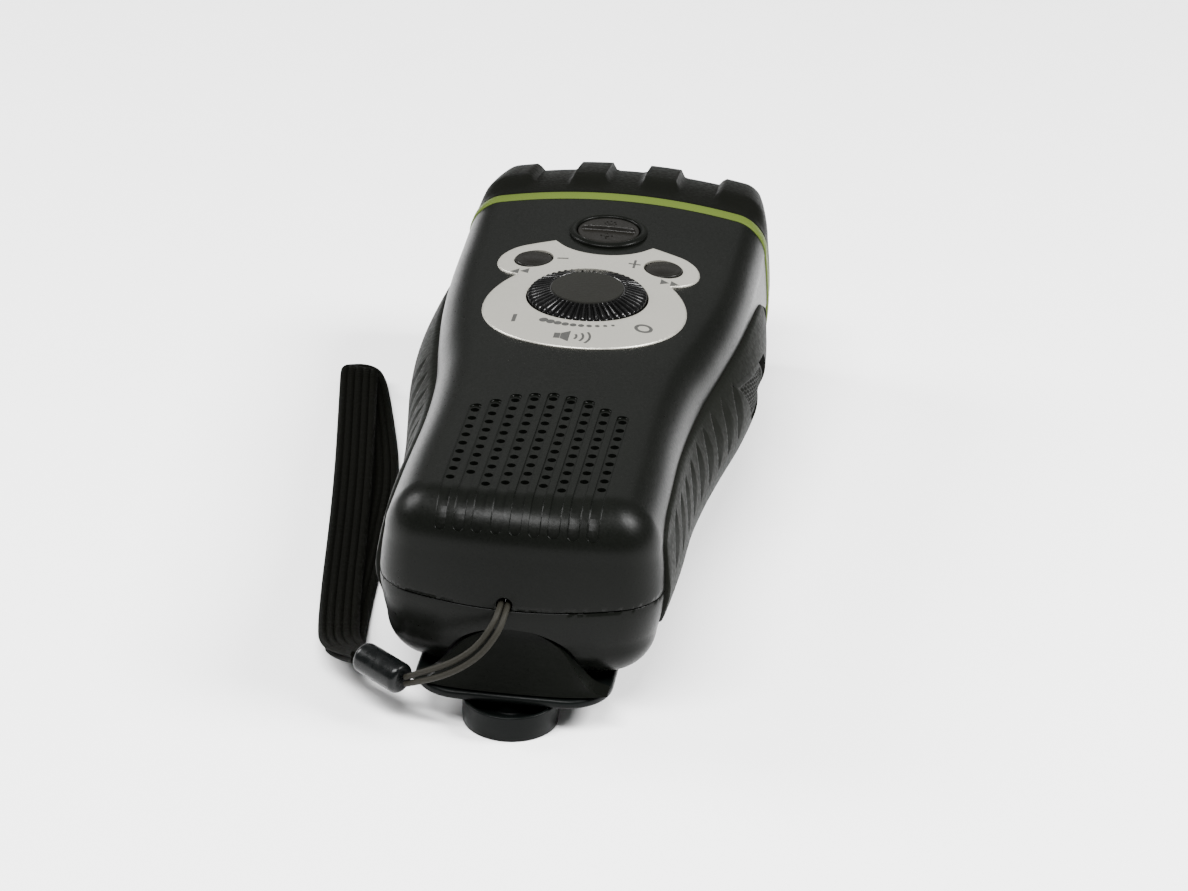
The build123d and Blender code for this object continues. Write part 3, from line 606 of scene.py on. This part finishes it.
def groove(tree, x, start_y):
    """A cutter for a shallow round-ended groove that follows the case's surface."""
    deep, half = GROOVE_DEEP, GROOVE_HALF
    line = surface_line(tree, x, start_y)
    places, total = [0.0], 0.0
    for (a, _), (b, _) in zip(line, line[1:]):
        total += (b - a).length
        places.append(total)
    marks = [half * (1 - cos(pi / 2 * i / 6)) for i in range(1, 6)]
    wanted = sorted(set([0.02] + marks + [p for p in places if half < p < total - half]
                        + [total - m for m in marks] + [total - 0.02]))
    verts = []
    for s in wanted:
        i = max(k for k in range(len(places)) if places[k] <= s)
        i = min(i, len(places) - 2)
        t = (s - places[i]) / (places[i + 1] - places[i])
        at = line[i][0].lerp(line[i + 1][0], t)
        normal = line[i][1].lerp(line[i + 1][1], t)
        normal.x = 0
        normal.normalize()
        edge = min(s, total - s, half)
        wide = sqrt(max(0.0004, half ** 2 - (half - edge) ** 2))
        side = Vector((1, 0, 0))
        section = ((-wide, GROOVE_CLEAR), (-wide, FLOOR_ROUND - deep), (-wide * 0.8, -deep),
                   (wide * 0.8, -deep), (wide, FLOOR_ROUND - deep), (wide, GROOVE_CLEAR))
        verts += [tuple(at + side * u + normal * v) for u, v in section]
    rows, columns = len(wanted), len(section)
    return make("groove", verts, lattice(rows, columns, wrap_columns=True) + end_caps(rows, columns))


CUT_LOW, CUT_HIGH = 40, 60
DIAL_GAP, SCAN_GAP, NOTCH_R = 0.4, 0.25, 1.8


def make_front():
    case = half_case("front_case", True)
    tree = BVHTree.FromObject(case, bpy.context.evaluated_depsgraph_get())
    grooves, holes = [], []
    for column, rows in enumerate(GRILLE_ROWS):
        x = (column - 4) * GRILLE_PITCH
        top = GRILLE_TOPS[min(column, 8 - column)]
        grooves.append(groove(tree, x, top + 2.2))
        holes += [rod(GRILLE_HOLE_R, CUT_LOW, CUT_HIGH, (x, top - i * GRILLE_PITCH), 20)
                  for i in range(rows)]
    wells = [rod(DIAL_R + DIAL_GAP, CUT_LOW, CUT_HIGH, (0, DIAL_Y), 96)]
    wells += [rod(LAMP_RING_R - 0.3, CUT_LOW, CUT_HIGH, (0, LAMP_Y), 64)]
    wells += [rod(SCAN_R + SCAN_GAP, CUT_LOW, CUT_HIGH, (x, SCAN_Y), 48) for x in (-SCAN_X, SCAN_X)]
    notch = rod(NOTCH_R, -95, -83, (-1.5, PART_Z + 1.3), 24, lengthwise=True)
    steps = [("DIFFERENCE", join_meshes("grooves", grooves)),
             ("DIFFERENCE", join_meshes("holes", holes + wells + [notch]))]
    dress(reshape(case, steps, reach=0.6), "case_plastic", "case", "front_shell")


ARCH_HALF, ARCH_HIGH, BACK_Z, ARCH_FOOT = 21.5, 14.0, 8.5, 4.0
ARCH_FRONT_Y, ARCH_DEEP_Y, TONGUE_GAP, TONGUE_DEEP_Y = -96.0, -85.2, 0.9, -84.0
TONGUE_FACE = [(-86.5, 23.5), (-87.3, 19.5), (-88.9, 14.2), (-90.4, 10.1), (-91.1, 8.5)]
CRANK_BORE_R, CRANK_BORE_TOP = 5.0, 12.6
arch_side = smooth_line([(-1.0, 0.0), (-0.80, 0.14), (-0.52, 0.70), (-0.24, 0.95), (0.0, 1.0)])


def arch_places(half, high):
    """Places across the bell-shaped arch as (part of the half width, x, z)."""
    return [(t, half * t, BACK_Z + high * arch_side(-abs(t))) for t in (k / 40 - 1 for k in range(81))]


def make_arch():
    """The bell-shaped block that cuts the arch out of the case's end."""
    arc = [(x, z) for _, x, z in arch_places(ARCH_HALF, ARCH_HIGH)]
    ring = [(-ARCH_HALF, BACK_Z - ARCH_FOOT)] + arc + [(ARCH_HALF, BACK_Z - ARCH_FOOT)]
    verts = [(x, y, z) for y in (ARCH_FRONT_Y, ARCH_DEEP_Y) for x, z in ring]
    return make("arch", verts, lattice(2, len(ring), wrap_columns=True) + end_caps(2, len(ring)))


def make_tongue():
    """The sloping face that fills the arch, domed at its foot."""
    face = smooth_line(sorted((z, y) for y, z in TONGUE_FACE))
    places = arch_places(ARCH_HALF - TONGUE_GAP, ARCH_HIGH - TONGUE_GAP)
    rows, foot = 25, BACK_Z + 0.05
    verts = []
    for r in range(rows):
        for t, x, top in places:
            z = foot + (top - foot) * r / (rows - 1)
            dome = 1.6 * t ** 4 * step(BACK_Z + 6, BACK_Z, z) + 0.8 * t * t
            verts.append((x, face(z) + dome, z))
    verts += [(x, TONGUE_DEEP_Y, z) for x, y, z in verts]
    return make("tongue", verts, slab_faces(rows, len(places)))


def make_back():
    case = half_case("back_case", False)
    bore = rod(CRANK_BORE_R, 0, CRANK_BORE_TOP, (0, HUB_Y), 48)
    steps = [("DIFFERENCE", make_arch()), ("UNION", make_tongue()), ("DIFFERENCE", bore)]
    dress(reshape(case, steps), "case_plastic", "case", "back_shell")


make_front()
make_back()


# ---- head: trim ring and rubber guard ----
def end_section():
    """The case's section at its head end as (x, z, outward x, outward z), all round."""
    top = [(row[-1][0], row[-1][2]) for row in skin(True, 0.0)]
    low = [(row[-1][0], row[-1][2]) for row in skin(False, 0.0)]
    across = 60
    edge = top[-1][0]
    right = list(reversed(low)) + top[1:]
    over = [(edge * (1 - 2 * k / across), crown(edge * (1 - 2 * k / across), TRIM_Y))
            for k in range(1, across)]
    foot = low[-1][0]
    under = [(-foot + 2 * foot * k / across, low[-1][1]) for k in range(1, across)]
    ring = right + over + [(-x, z) for x, z in reversed(right)] + under
    rows = []
    for i, (x, z) in enumerate(ring):
        a, b = ring[i - 2], ring[(i + 2) % len(ring)]
        tx, tz = b[0] - a[0], b[1] - a[1]
        size = hypot(tx, tz)
        rows.append((x, z, tz / size, -tx / size))
    return rows


SECTION = end_section()
LUG_X, LUG_HALF, LUG_CORNER_X, LUG_FLANK = 8.45, 4.5, 22.5, 0.7
LUG_HIGH, LUG_HIGH_BELOW = 1.95, 1.6


def sleeve(name, rows, slot_name, node, lift=None):
    """A ring round the head from (y, offset) rows run out along its outside and back inside."""
    verts = []
    for r, (y, grow) in enumerate(rows):
        for x, z, nx, nz in SECTION:
            more = lift(x, z, y, grow) if lift else 0.0
            up = step(0.1, 0.6, abs(nz)) * (1 if nz > 0 else -1)
            verts.append((x + nx * grow, y, z + nz * grow + up * more))
    faces = lattice(len(rows), len(SECTION), wrap_rows=True, wrap_columns=True)
    ring = make(name, verts, [tuple(reversed(f)) for f in faces], SLOTS[slot_name], sharp=55.0)
    return dress(ring, slot_name, "case", node)


def lug(x, z):
    """1 on a lug and 0 in a recess, with short sloping flanks."""
    flank = LUG_FLANK / 2
    middle = 1 - step(LUG_HALF - flank, LUG_HALF + flank, abs(abs(x) - LUG_X))
    corner = step(LUG_CORNER_X - flank, LUG_CORNER_X + flank, abs(x))
    above, below = step(36.8, 38.2, z), 1 - step(15.8, 17.2, z)
    return max(middle, corner * max(above, below))


def guard_lift(x, z, y, grow):
    """How far a lug stands above the sleeve."""
    if grow < -5.0 or y < GUARD_Y + 0.6:
        return 0.0
    rise = step(GUARD_Y + 1.5, GUARD_Y + 9.5, y)
    return (LUG_HIGH if z > PART_Z else LUG_HIGH_BELOW) * rise * lug(x, z)


def make_head():
    lip = 1.2
    start_y, long = GUARD_Y + 0.35, HEAD_Y - lip - GUARD_Y - 0.35
    outer = [(GUARD_Y + 0.05, -0.1), (start_y, 0.15)]
    outer += [(start_y + long * t, 0.15 - 1.0 * t - 2.2 * t * t) for t in (k / 26 for k in range(1, 27))]
    turns = [pi * k / 10 for k in range(1, 5)]
    rim = [(HEAD_Y - lip * (1 - sin(a)), -3.1 - lip * (1 - cos(a))) for a in turns]
    inner = [(HEAD_Y, -4.35), (HEAD_Y - 0.1, -5.4), (HEAD_Y - 0.6, -5.8), (HEAD_Y - 5.8, -6.3),
             (HEAD_Y - 6.0, -4.2), (GUARD_Y + 0.05, -2.8)]
    sleeve("head_guard_rubber", outer + rim + inner, "guard_rubber", "head_guard", guard_lift)
    proud, deep = 0.28, -2.6
    trim = [(TRIM_Y - 0.8, -0.05), (TRIM_Y - 0.7, 0.16), (TRIM_Y - 0.4, proud), (GUARD_Y - 0.4, proud),
            (GUARD_Y - 0.12, 0.16), (GUARD_Y - 0.02, -0.05), (GUARD_Y - 0.02, deep),
            (TRIM_Y + 0.02, deep), (TRIM_Y + 0.02, -0.05)]
    sleeve("olive_trim", trim, "trim_olive", "trim_ring")


make_head()

# ---- side grips ----
grip_bulge = smooth_line([(-74.0, 0.5), (-60.0, 1.3), (-42.0, 2.0), (-25.0, 3.5), (-8.0, 4.8),
                          (10.0, 4.7), (28.0, 3.7), (45.0, 2.2), (58.5, 0.7)])
grip_high = smooth_line([(-74.4, 27.5), (-73.6, 31.0), (-71.2, 37.0), (-66.0, 39.6), (-58.0, 40.3),
                         (-42.0, 40.3), (-25.0, 39.1), (-8.0, 38.2), (13.0, 38.4), (31.0, 37.9),
                         (46.0, 36.6), (55.0, 34.8), (58.6, 33.0)])
grip_low = smooth_line([(-74.4, 26.5), (-73.6, 22.0), (-71.0, 17.5), (-60.0, 15.0), (-42.0, 14.0),
                        (-8.0, 13.0), (28.0, 13.5), (45.0, 15.0), (55.0, 20.0), (58.6, 32.0)])
GRIP_FROM, GRIP_TO = -74.3, 58.5
GRIP_PROUD, GRIP_DEEP, GRIP_BACK = 0.55, 1.2, 5
LEAVES = [(-62.5 + 8.3 * k, 33.6 - 0.25 * k) for k in range(9)]
LEAF_ALONG, LEAF_OVER, LEAF_REACH, LEAF_WIDE, LEAF_DEEP = 0.70, 0.714, 6.8, 1.9, 0.75
JACK_OUTLINE = [(8.0, 36.0), (14.0, 24.5), (44.0, 18.5), (36.0, 31.0)]
COVER_OUTLINE = [(8.0, 36.0), (14.0, 24.5), (41.8, 18.9), (31.1, 31.9)]
COVER_GAP, COVER_SUNK, COVER_THICK = 0.8, 0.55, 1.1


def wall_x(y, z):
    """Half width of the case's side at a height."""
    x = half_width(y)
    for _ in range(3):
        if z >= PART_Z:
            radius, lean = shoulder_radius(y), FRONT_LEAN
            rim = crown(x, y) - radius
            t = (z - PART_Z) / (rim - PART_Z)
        else:
            radius, lean = keel_radius(y), BACK_LEAN
            rim = keel_height(y) + radius
            t = (PART_Z - z) / (PART_Z - rim)
        if t <= 1:
            inset = lean * t ** 1.6
        else:
            inset = lean + radius * (1 - cos(asin(min(1.0, abs(z - rim) / radius))))
        x = half_width(y) - inset
    return x


def leaf_depth(y, z):
    """Oblique leaf-shaped hollows: deep at one edge and running out at the other."""
    deep = 0.0
    for cy, cz in LEAVES:
        dy, dz = y - cy, z - cz
        if abs(dy) > 9 or abs(dz) > 9:
            continue
        along = LEAF_ALONG * dy + LEAF_OVER * dz
        over = LEAF_OVER * dy - LEAF_ALONG * dz
        if abs(along) < LEAF_REACH:
            wide = LEAF_WIDE * (1 - (along / LEAF_REACH) ** 2)
            if -wide < over < wide:
                t = (over + wide) / (2 * wide)
                deep = max(deep, LEAF_DEEP * (1 - t) * step(0, 0.14, t) * min(1.0, wide / 0.8))
    return deep


def grip_x(y, z, leaves=True):
    """How far out a grip's face stands, with or without its leaf-shaped hollows."""
    low, high = grip_low(y), grip_high(y)
    middle = PART_Z if low < PART_Z < high else (low + high) / 2
    t = (z - middle) / (high - middle) if z > middle else (middle - z) / (middle - low)
    hump = max(0.0, cos(pi / 2 * min(1.0, t) ** 1.25)) ** 0.9
    return wall_x(y, z) + GRIP_PROUD + grip_bulge(y) * hump - (leaf_depth(y, z) if leaves else 0.0)


def make_grip(side):
    """One grip: its modelled face, a plain back inside the case's wall, and the edges between them."""
    rows, columns = 380, 72
    places = [GRIP_FROM + (GRIP_TO - GRIP_FROM) * r / (rows - 1) for r in range(rows)]
    verts = []
    for y in places:
        low, high = grip_low(y), grip_high(y)
        sink = 1.0 - min(step(GRIP_FROM, GRIP_FROM + 0.6, y), 1 - step(GRIP_TO - 0.6, GRIP_TO, y))
        for c in range(columns):
            z = low + (high - low) * c / (columns - 1)
            if c in (0, columns - 1):
                x = wall_x(y, z) - GRIP_DEEP
            else:
                edge = min(z - low, high - z)
                x = grip_x(y, z) - 0.5 * (1 - step(0, 0.7, edge)) - 0.5 * sink
            verts.append((side * x, y, z))
    back = len(verts)
    for y in places:
        for c in range(GRIP_BACK):
            z = grip_low(y) + (grip_high(y) - grip_low(y)) * c / (GRIP_BACK - 1)
            verts.append((side * (wall_x(y, z) - GRIP_DEEP), y, z))
    faces = lattice(rows, columns) + lattice(rows, GRIP_BACK, start=back)
    for face_edge, back_edge in ((0, 0), (columns - 1, GRIP_BACK - 1)):
        outer = [r * columns + face_edge for r in range(rows)]
        inner = [back + r * GRIP_BACK + back_edge for r in range(rows)]
        faces += [(outer[r], outer[r + 1], inner[r + 1], inner[r]) for r in range(rows - 1)]
    for r in (0, rows - 1):
        face_end = [r * columns + c for c in range(columns)]
        back_end = [back + r * GRIP_BACK + c for c in range(GRIP_BACK)]
        faces.append(tuple(face_end + back_end[::-1]))
    name = "grip_right" if side > 0 else "grip_left"
    return make(name, verts, faces, SLOTS["grip_rubber"], sharp=50.0)


def slanted_point(outline_points, s, t, shrink):
    """A point inside a slanting four-cornered outline, s along it and t across it, as (y, z)."""
    corners = [Vector(p) for p in outline_points]
    centre = sum(corners, Vector((0, 0))) / 4
    a, b, c, d = [p + (centre - p).normalized() * shrink for p in corners]
    return (a.lerp(d, s)).lerp(b.lerp(c, s), t)


def make_jack_cover():
    """The cover: a slanting lid whose face is pebbled, set a little below the grip."""
    rows, columns = 64, 32
    verts = []
    for r in range(rows):
        for c in range(columns):
            s, t = r / (rows - 1), c / (columns - 1)
            p = slanted_point(COVER_OUTLINE, s, t, COVER_GAP)
            edge = min(min(s, 1 - s) * 30, min(t, 1 - t) * 12)
            face = step(1.2, 1.9, edge)
            pebble = 0.28 * sin(p.x * 2.9) * sin(p.y * 3.3 + p.x) * face
            verts.append((grip_x(p.x, p.y, False) - COVER_SUNK * (1 + face) + pebble, p.x, p.y))
    verts += [(x - COVER_THICK, y, z) for x, y, z in verts]
    faces = slab_faces(rows, columns)
    cover = make("jack_cover_lid", verts, faces, SLOTS["grip_rubber"], sharp=45.0)
    dress(cover, "grip_rubber", "jack_flap", "jack_cover")


def make_grips():
    dress(make_grip(-1), "grip_rubber", "case", "side_grip_left")
    grip = make_grip(1)
    corners = [slanted_point(JACK_OUTLINE, s, t, -0.2) for s, t in ((0, 0), (0, 1), (1, 1), (1, 0))]
    verts = [(x, p.x, p.y) for x in (30.0, 48.0) for p in corners]
    pocket = make("pocket", verts, lattice(2, 4, wrap_columns=True) + end_caps(2, 4))
    dress(reshape(grip, [("DIFFERENCE", pocket)]), "grip_rubber", "case", "side_grip_right")
    make_jack_cover()


make_grips()

# ---- control plate and its marks ----
PLATE_R, EAR_R, LAMP_BITE_R = 23.1, 8.4, 13.0
PLATE_RISE, PLATE_CENTRE_Y = 0.42, 25.0


def inside_plate(x, y):
    """Below 0 inside the plate's outline."""
    big = hypot(x, y - DIAL_Y + 4.4) - PLATE_R
    ear = hypot(abs(x) - SCAN_X, y - SCAN_Y) - EAR_R
    bridge = max(abs(x) - 17.87, 29.2 - y, y - 47.2 + 0.364 * (abs(x) - 11.8))
    bite = LAMP_BITE_R - hypot(x, y - LAMP_Y)
    return max(min(big, ear, bridge), bite)


def plate_edge(a):
    low, high = 5.0, 45.0
    for _ in range(30):
        middle = (low + high) / 2
        inside = inside_plate(middle * cos(a), PLATE_CENTRE_Y + middle * sin(a)) < 0
        low, high = (middle, high) if inside else (low, middle)
    return low


def make_plate():
    steps = 540
    reach = [plate_edge(2 * pi * i / steps) for i in range(steps)]
    rings = [(0.0, -0.8), (0.0, 0.02)]
    rings += [(0.55 * (1 - cos(a)), PLATE_RISE * sin(a)) for a in (pi * k / 10 for k in range(1, 6))]
    rings += [(0.6 + 1.4 * k, PLATE_RISE) for k in range(1, 8)]
    verts = []
    for shrink, rise in rings:
        for i, far in enumerate(reach):
            a = 2 * pi * i / steps
            x, y = (far - shrink) * cos(a), PLATE_CENTRE_Y + (far - shrink) * sin(a)
            verts.append((x, y, crown(x, y) + rise))
    inner = 8
    for k in range(1, inner):
        for i, far in enumerate(reach):
            a = 2 * pi * i / steps
            r = (far - rings[-1][0]) * (1 - k / inner) + 0.01
            x, y = r * cos(a), PLATE_CENTRE_Y + r * sin(a)
            verts.append((x, y, crown(x, y) + PLATE_RISE))
    rows = len(verts) // steps
    faces = lattice(rows, steps, wrap_columns=True) + end_caps(rows, steps)
    plate = make("silver_plate", verts, faces, SLOTS["plate_silver"], sharp=60.0)
    holes = [rod(DIAL_R + DIAL_GAP, CUT_LOW, CUT_HIGH, (0, DIAL_Y), 128)]
    holes += [rod(SCAN_R + SCAN_GAP, CUT_LOW, CUT_HIGH, (x, SCAN_Y), 64) for x in (-SCAN_X, SCAN_X)]
    dress(reshape(plate, [("DIFFERENCE", join_meshes("plate_holes", holes))]),
          "plate_silver", "case", "control_plate")


def disc(x, y, r):
    return [(x + r * cos(a), y + r * sin(a)) for a in round_turn(28)]


def bar(x, y, wide, high):
    return [(x + u * wide / 2, y + v * high / 2) for u, v in ((-1, -1), (1, -1), (1, 1), (-1, 1))]


def arc_stroke(x, y, inner, outer, low, high, count):
    """A curved stroke as count four-cornered pieces, between two angles."""
    angles = [low + (high - low) * k / count for k in range(count + 1)]
    return [[(x + r * cos(t), y + r * sin(t)) for r, t in ((inner, a), (outer, a), (outer, b), (inner, b))]
            for a, b in zip(angles, angles[1:])]


MINUS_X, SIGN_Y, STROKE = 8.3, 37.3, 0.55
RAMP_R, RAMP_HALF_TURN, RAMP_DOTS = 17.2, 27, 10
POWER_X, POWER_Y = 14.6, 5.2
SPEAKER_Y, WAVE_X, WAVE_HALF_TURN = -3.4, -1.6, radians(32)
ARROW_X, ARROW_Y, ARROW_STEP, ARROW_LONG, ARROW_HALF = 15.2, 30.5, 2.3, 2.0, 1.3


def make_marks():
    """Printed marks: minus and plus, a ramp of dots, a stroke and a ring for on and off, a loudspeaker
    and double arrows."""
    shapes = [bar(-MINUS_X, SIGN_Y, 2.6, STROKE), bar(MINUS_X, SIGN_Y, 2.8, STROKE)]
    shapes += [bar(MINUS_X, SIGN_Y + side * 1.2, STROKE, 1.75) for side in (1, -1)]
    for k in range(RAMP_DOTS):
        a = radians(-90 - RAMP_HALF_TURN + 2 * RAMP_HALF_TURN * k / (RAMP_DOTS - 1))
        shapes.append(disc(RAMP_R * cos(a), DIAL_Y + RAMP_R * sin(a) + 0.9, 1.05 - 0.07 * k))
    shapes.append(bar(-POWER_X, POWER_Y, 0.9, 3.8))
    shapes += arc_stroke(POWER_X, POWER_Y, 1.3, 2.1, 0, 2 * pi, 28)
    shapes.append(bar(-3.7, SPEAKER_Y, 1.4, 2.6))
    shapes.append([(-2.9, SPEAKER_Y - 1.3), (-0.9, SPEAKER_Y - 2.7), (-0.9, SPEAKER_Y + 2.7),
                   (-2.9, SPEAKER_Y + 1.3)])
    for r in (2.0, 3.5, 5.0):
        shapes += arc_stroke(WAVE_X, SPEAKER_Y, r, r + STROKE, -WAVE_HALF_TURN, WAVE_HALF_TURN, 6)
    for side in (-1, 1):
        for k in range(2):
            x = side * (ARROW_X + ARROW_STEP * k)
            shapes.append([(x, ARROW_Y + ARROW_HALF), (x + side * ARROW_LONG, ARROW_Y),
                           (x, ARROW_Y - ARROW_HALF)])
    verts, faces = [], []
    for shape in shapes:
        start, count = len(verts), len(shape)
        for lift in (-0.05, 0.035):
            verts += [(x, y, crown(x, y) + PLATE_RISE + lift) for x, y in shape]
        prism = lattice(2, count, wrap_columns=True) + end_caps(2, count)
        faces += [tuple(start + i for i in face) for face in prism]
    marks = make("plate_marks", verts, faces, INK)
    dress(marks, "plate_silver", "case")


make_plate()
make_marks()


# ---- dial and buttons ----
DIAL_RIBS, RIB_DEEP = 52, 0.75
RIM_R, RIM_Z, CAP_R, CAP_EDGE_R, CAP_Z = 12.9, 51.0, 7.9, 8.25, 52.32


def dial_rib(radius, z, a):
    """The gaps between the ribs of the dial's sloping rim."""
    on = step(8.55, 8.9, radius) * step(50.0, 50.25, z)
    tooth = abs(((a * DIAL_RIBS / (2 * pi)) % 1.0) - 0.5) * 2
    drop = RIB_DEEP * on * step(0.2, 0.9, tooth)
    return radius - 0.45 * drop, z - drop


def make_dial():
    profile = rounded([(AXIS_R, 46.8), (DIAL_R, 46.8), (DIAL_R, 50.5), (RIM_R, RIM_Z)], 0.3, 4)
    profile += [(RIM_R - 4.2 * k / 10, RIM_Z + 1.15 * k / 10) for k in range(1, 11)]
    profile += [(8.62, 52.12), (8.5, 51.95), (CAP_EDGE_R, 51.95), (8.18, 52.15), (8.1, 52.28)]
    profile += [(CAP_R - (CAP_R - AXIS_R) * k / 6, CAP_Z) for k in range(7)]
    dial = turned("volume_dial_ribbed", profile, (0, DIAL_Y), SLOTS["dial_black"], 10 * DIAL_RIBS,
                  dial_rib, sharp=35.0)
    dial.data.materials.append(DIAL_CAP)
    for poly in dial.data.polygons:
        centre = poly.center / MM
        if hypot(centre.x, centre.y - DIAL_Y) < CAP_EDGE_R and centre.z > 51.9:
            poly.material_index = 1
    dress(dial, "dial_black", "dial", "volume_dial")


def dome(radius, low, shoulder, top, edge=0.7, steps=10):
    """A profile with a rounded edge and a crowned top."""
    crown_from = (radius - edge * 1.6, shoulder + 0.1)
    profile = rounded([(AXIS_R, low), (radius, low), (radius, shoulder), crown_from], edge, 6)
    start, foot = crown_from
    for k in range(1, steps + 1):
        left = 1 - k / steps
        profile.append((start * left + AXIS_R, foot + (top - foot) * (1 - left ** 2)))
    return profile


RIDGE_HIGH, ICON_LOW, ICON_OFF_Y, RAY_R = 1.0, 50.6, 3.5, 1.25


def lamp_ridge(radius, z, a):
    """The straight ridge across the lamp button, which tells its two halves apart."""
    if z < ICON_LOW:
        return radius, z
    off = abs(radius * sin(a))
    inside = 1 - step(LAMP_R - 1.3, LAMP_R - 0.9, radius)
    return radius, z + RIDGE_HIGH * (1 - step(0.2, 0.85, off)) * inside


def peg(name, radius, top, edge, at, steps):
    """A small raised dot of an icon."""
    profile = [(AXIS_R, ICON_LOW), (radius, ICON_LOW), (radius, top), (AXIS_R, top)]
    return turned(name, rounded(profile, edge, 3 if name == "icon" else 2), at, None, steps)


def make_icons():
    """Two small suns: a bright one with eight rays and a dim one with four."""
    icons = []
    for y, rays in ((LAMP_Y + ICON_OFF_Y, 8), (LAMP_Y - ICON_OFF_Y, 4)):
        icons.append(peg("icon", 0.62, 51.32, 0.12, (0, y), 24))
        icons += [peg("ray", 0.2, 51.3, 0.06, (RAY_R * cos(a), y + RAY_R * sin(a)), 12)
                  for a in round_turn(rays)]
    return join_meshes("lamp_button_icons", icons)


def make_buttons():
    for name, x in (("scan_down", -SCAN_X), ("scan_up", SCAN_X)):
        top = crown(x, SCAN_Y)
        cap = turned(name + "_cap", dome(SCAN_R, 45.2, top + 0.5, top + 0.95), (x, SCAN_Y))
        dress(cap, "button_black", name, name + "_button")
    profile = dome(LAMP_R, 45.0, 50.95, 51.2, 0.6, 44)
    lamp = turned("lamp_button_cap", profile, (0, LAMP_Y), None, 220, lamp_ridge)
    dress(lamp, "button_black", "lamp_switch", "lamp_button")
    dress(make_icons(), "button_black", "lamp_switch")
    inner = LAMP_R + 0.2
    section = rounded([(inner, 46.0), (inner, 51.1), (inner + 0.7, 51.45), (LAMP_RING_R, 50.9),
                       (LAMP_RING_R, 46.0)], 0.35, 5)
    dress(hoop("lamp_bezel", section, LAMP_Y, 128), "case_plastic", "case", "lamp_button_ring")


make_dial()
make_buttons()


# ---- crank ----
PIN_BORE_R, KNOB_BORE_R = 1.5, 1.45


def make_arm():
    """A flat paddle with full corners and softly rounded edges."""
    low_y, high_y, corner = ARM_END_Y, HUB_Y + 12, 10.0
    ring = []
    for cx, cy, start in ((ARM_HALF - corner, high_y - corner, 0), (corner - ARM_HALF, high_y - corner, 90),
                          (corner - ARM_HALF, low_y + corner, 180), (ARM_HALF - corner, low_y + corner, 270)):
        for k in range(17):
            a = radians(start + 90 * k / 16)
            ring.append((cx + corner * cos(a), cy + corner * sin(a), cos(a), sin(a)))
    edge, flat = 0.75, 6.0
    turns = [pi * k / 8 for k in range(5)]
    rows = [(flat, ARM_LOW), (edge + 0.2, ARM_LOW)]
    rows += [(edge * (1 - sin(a)), ARM_LOW + edge * (1 - cos(a))) for a in turns[1:]]
    rows += [(edge * (1 - cos(a)), ARM_TOP - edge * (1 - sin(a))) for a in turns]
    rows += [(edge + 0.2, ARM_TOP), (flat, ARM_TOP)]
    verts = [(x - nx * inset, y - ny * inset, z) for inset, z in rows for x, y, nx, ny in ring]
    faces = lattice(len(rows), len(ring), wrap_columns=True) + end_caps(len(rows), len(ring))
    arm = make("crank_paddle", verts, faces, SLOTS["crank_plastic"], sharp=50.0)
    seat = ARM_LOW + 0.7
    bores = [rod(3.0, seat, 12, (0, HUB_Y), 48), rod(PIN_BORE_R, 0, 20, (0, KNOB_Y), 32),
             rod(2.4, 0, seat, (0, HUB_Y), 48)]
    steps = [("DIFFERENCE", join_meshes("arm_bores", bores))]
    dress(reshape(arm, steps), "crank_plastic", "crank", "crank_arm")


def make_knob():
    """A round finger knob with a thin rim round its dished top."""
    section = [(KNOB_BORE_R, 1.9), (3.9, 1.9), (3.9, 0.02), (KNOB_R - 0.15, 0.0), (KNOB_R, 2.6),
               (KNOB_R, KNOB_HIGH), (KNOB_R - 0.9, KNOB_HIGH), (KNOB_R - 1.5, KNOB_HIGH - 2.2),
               (4.2, KNOB_HIGH - 2.4), (4.0, KNOB_HIGH), (KNOB_BORE_R, KNOB_HIGH)]
    knob = hoop("crank_finger_knob", rounded(section, 0.4, 5), KNOB_Y, 240)
    dress(knob, "crank_plastic", "knob", "crank_knob")


make_arm()
make_knob()

# ---- materials of the pieces carried over ----
for part in frame["record"]["subparts"]:
    obj = frame["nodes"][part["node"]]
    if not obj.hide_render:
        obj.data.materials.clear()
        obj.data.materials.append(SLOTS[part["material_slot"]])


# ---- stage and light ----
def make_stage():
    half = 3.0
    corners = [(u * half, v * half, 0) for u, v in ((-1, -1), (1, -1), (1, 1), (-1, 1))]
    mesh = bpy.data.meshes.new("floor")
    mesh.from_pydata(corners, [], [(0, 1, 2, 3)])
    white = material("floor_white", (0.93, 0.93, 0.93), 0.9, grain=50, grain_bump=0.0, tint=0.005)
    mesh.materials.append(white)
    floor = bpy.data.objects.new("floor", mesh)
    bpy.context.collection.objects.link(floor)


def area_light(name, at, aim, size, power, long=None):
    data = bpy.data.lights.new(name, "AREA")
    data.energy, data.size = power, size
    if long:
        data.shape, data.size_y = "RECTANGLE", long
    lamp = bpy.data.objects.new(name, data)
    bpy.context.collection.objects.link(lamp)
    lamp.location = at
    lamp.rotation_euler = (Vector(at) - Vector(aim)).to_track_quat("Z", "Y").to_euler()


make_stage()
NEAR_BEVEL = (0, -0.07, 0.04)
area_light("key_left", (-0.89, 0.18, 0.64), NEAR_BEVEL, 0.40, 15.0)
area_light("key_right", (0.77, 0.02, 0.80), NEAR_BEVEL, 0.40, 30.0)
area_light("band", (-0.12, -0.47, 0.93), NEAR_BEVEL, 0.8, 30.0, 0.26)
area_light("back", (-0.15, 1.3, 0.78), (0, 0, 0.04), 1.4, 2.0, 0.5)
area_light("over", (0.1, 0.1, 1.4), (0, 0.0, 0.0), 1.6, 3.0, 1.4)
world = bpy.data.worlds.new("world")
bpy.context.scene.world = world
world.use_nodes = True
set_inputs(world.node_tree.nodes["Background"], Color=(1, 1, 1, 1), Strength=0.26)
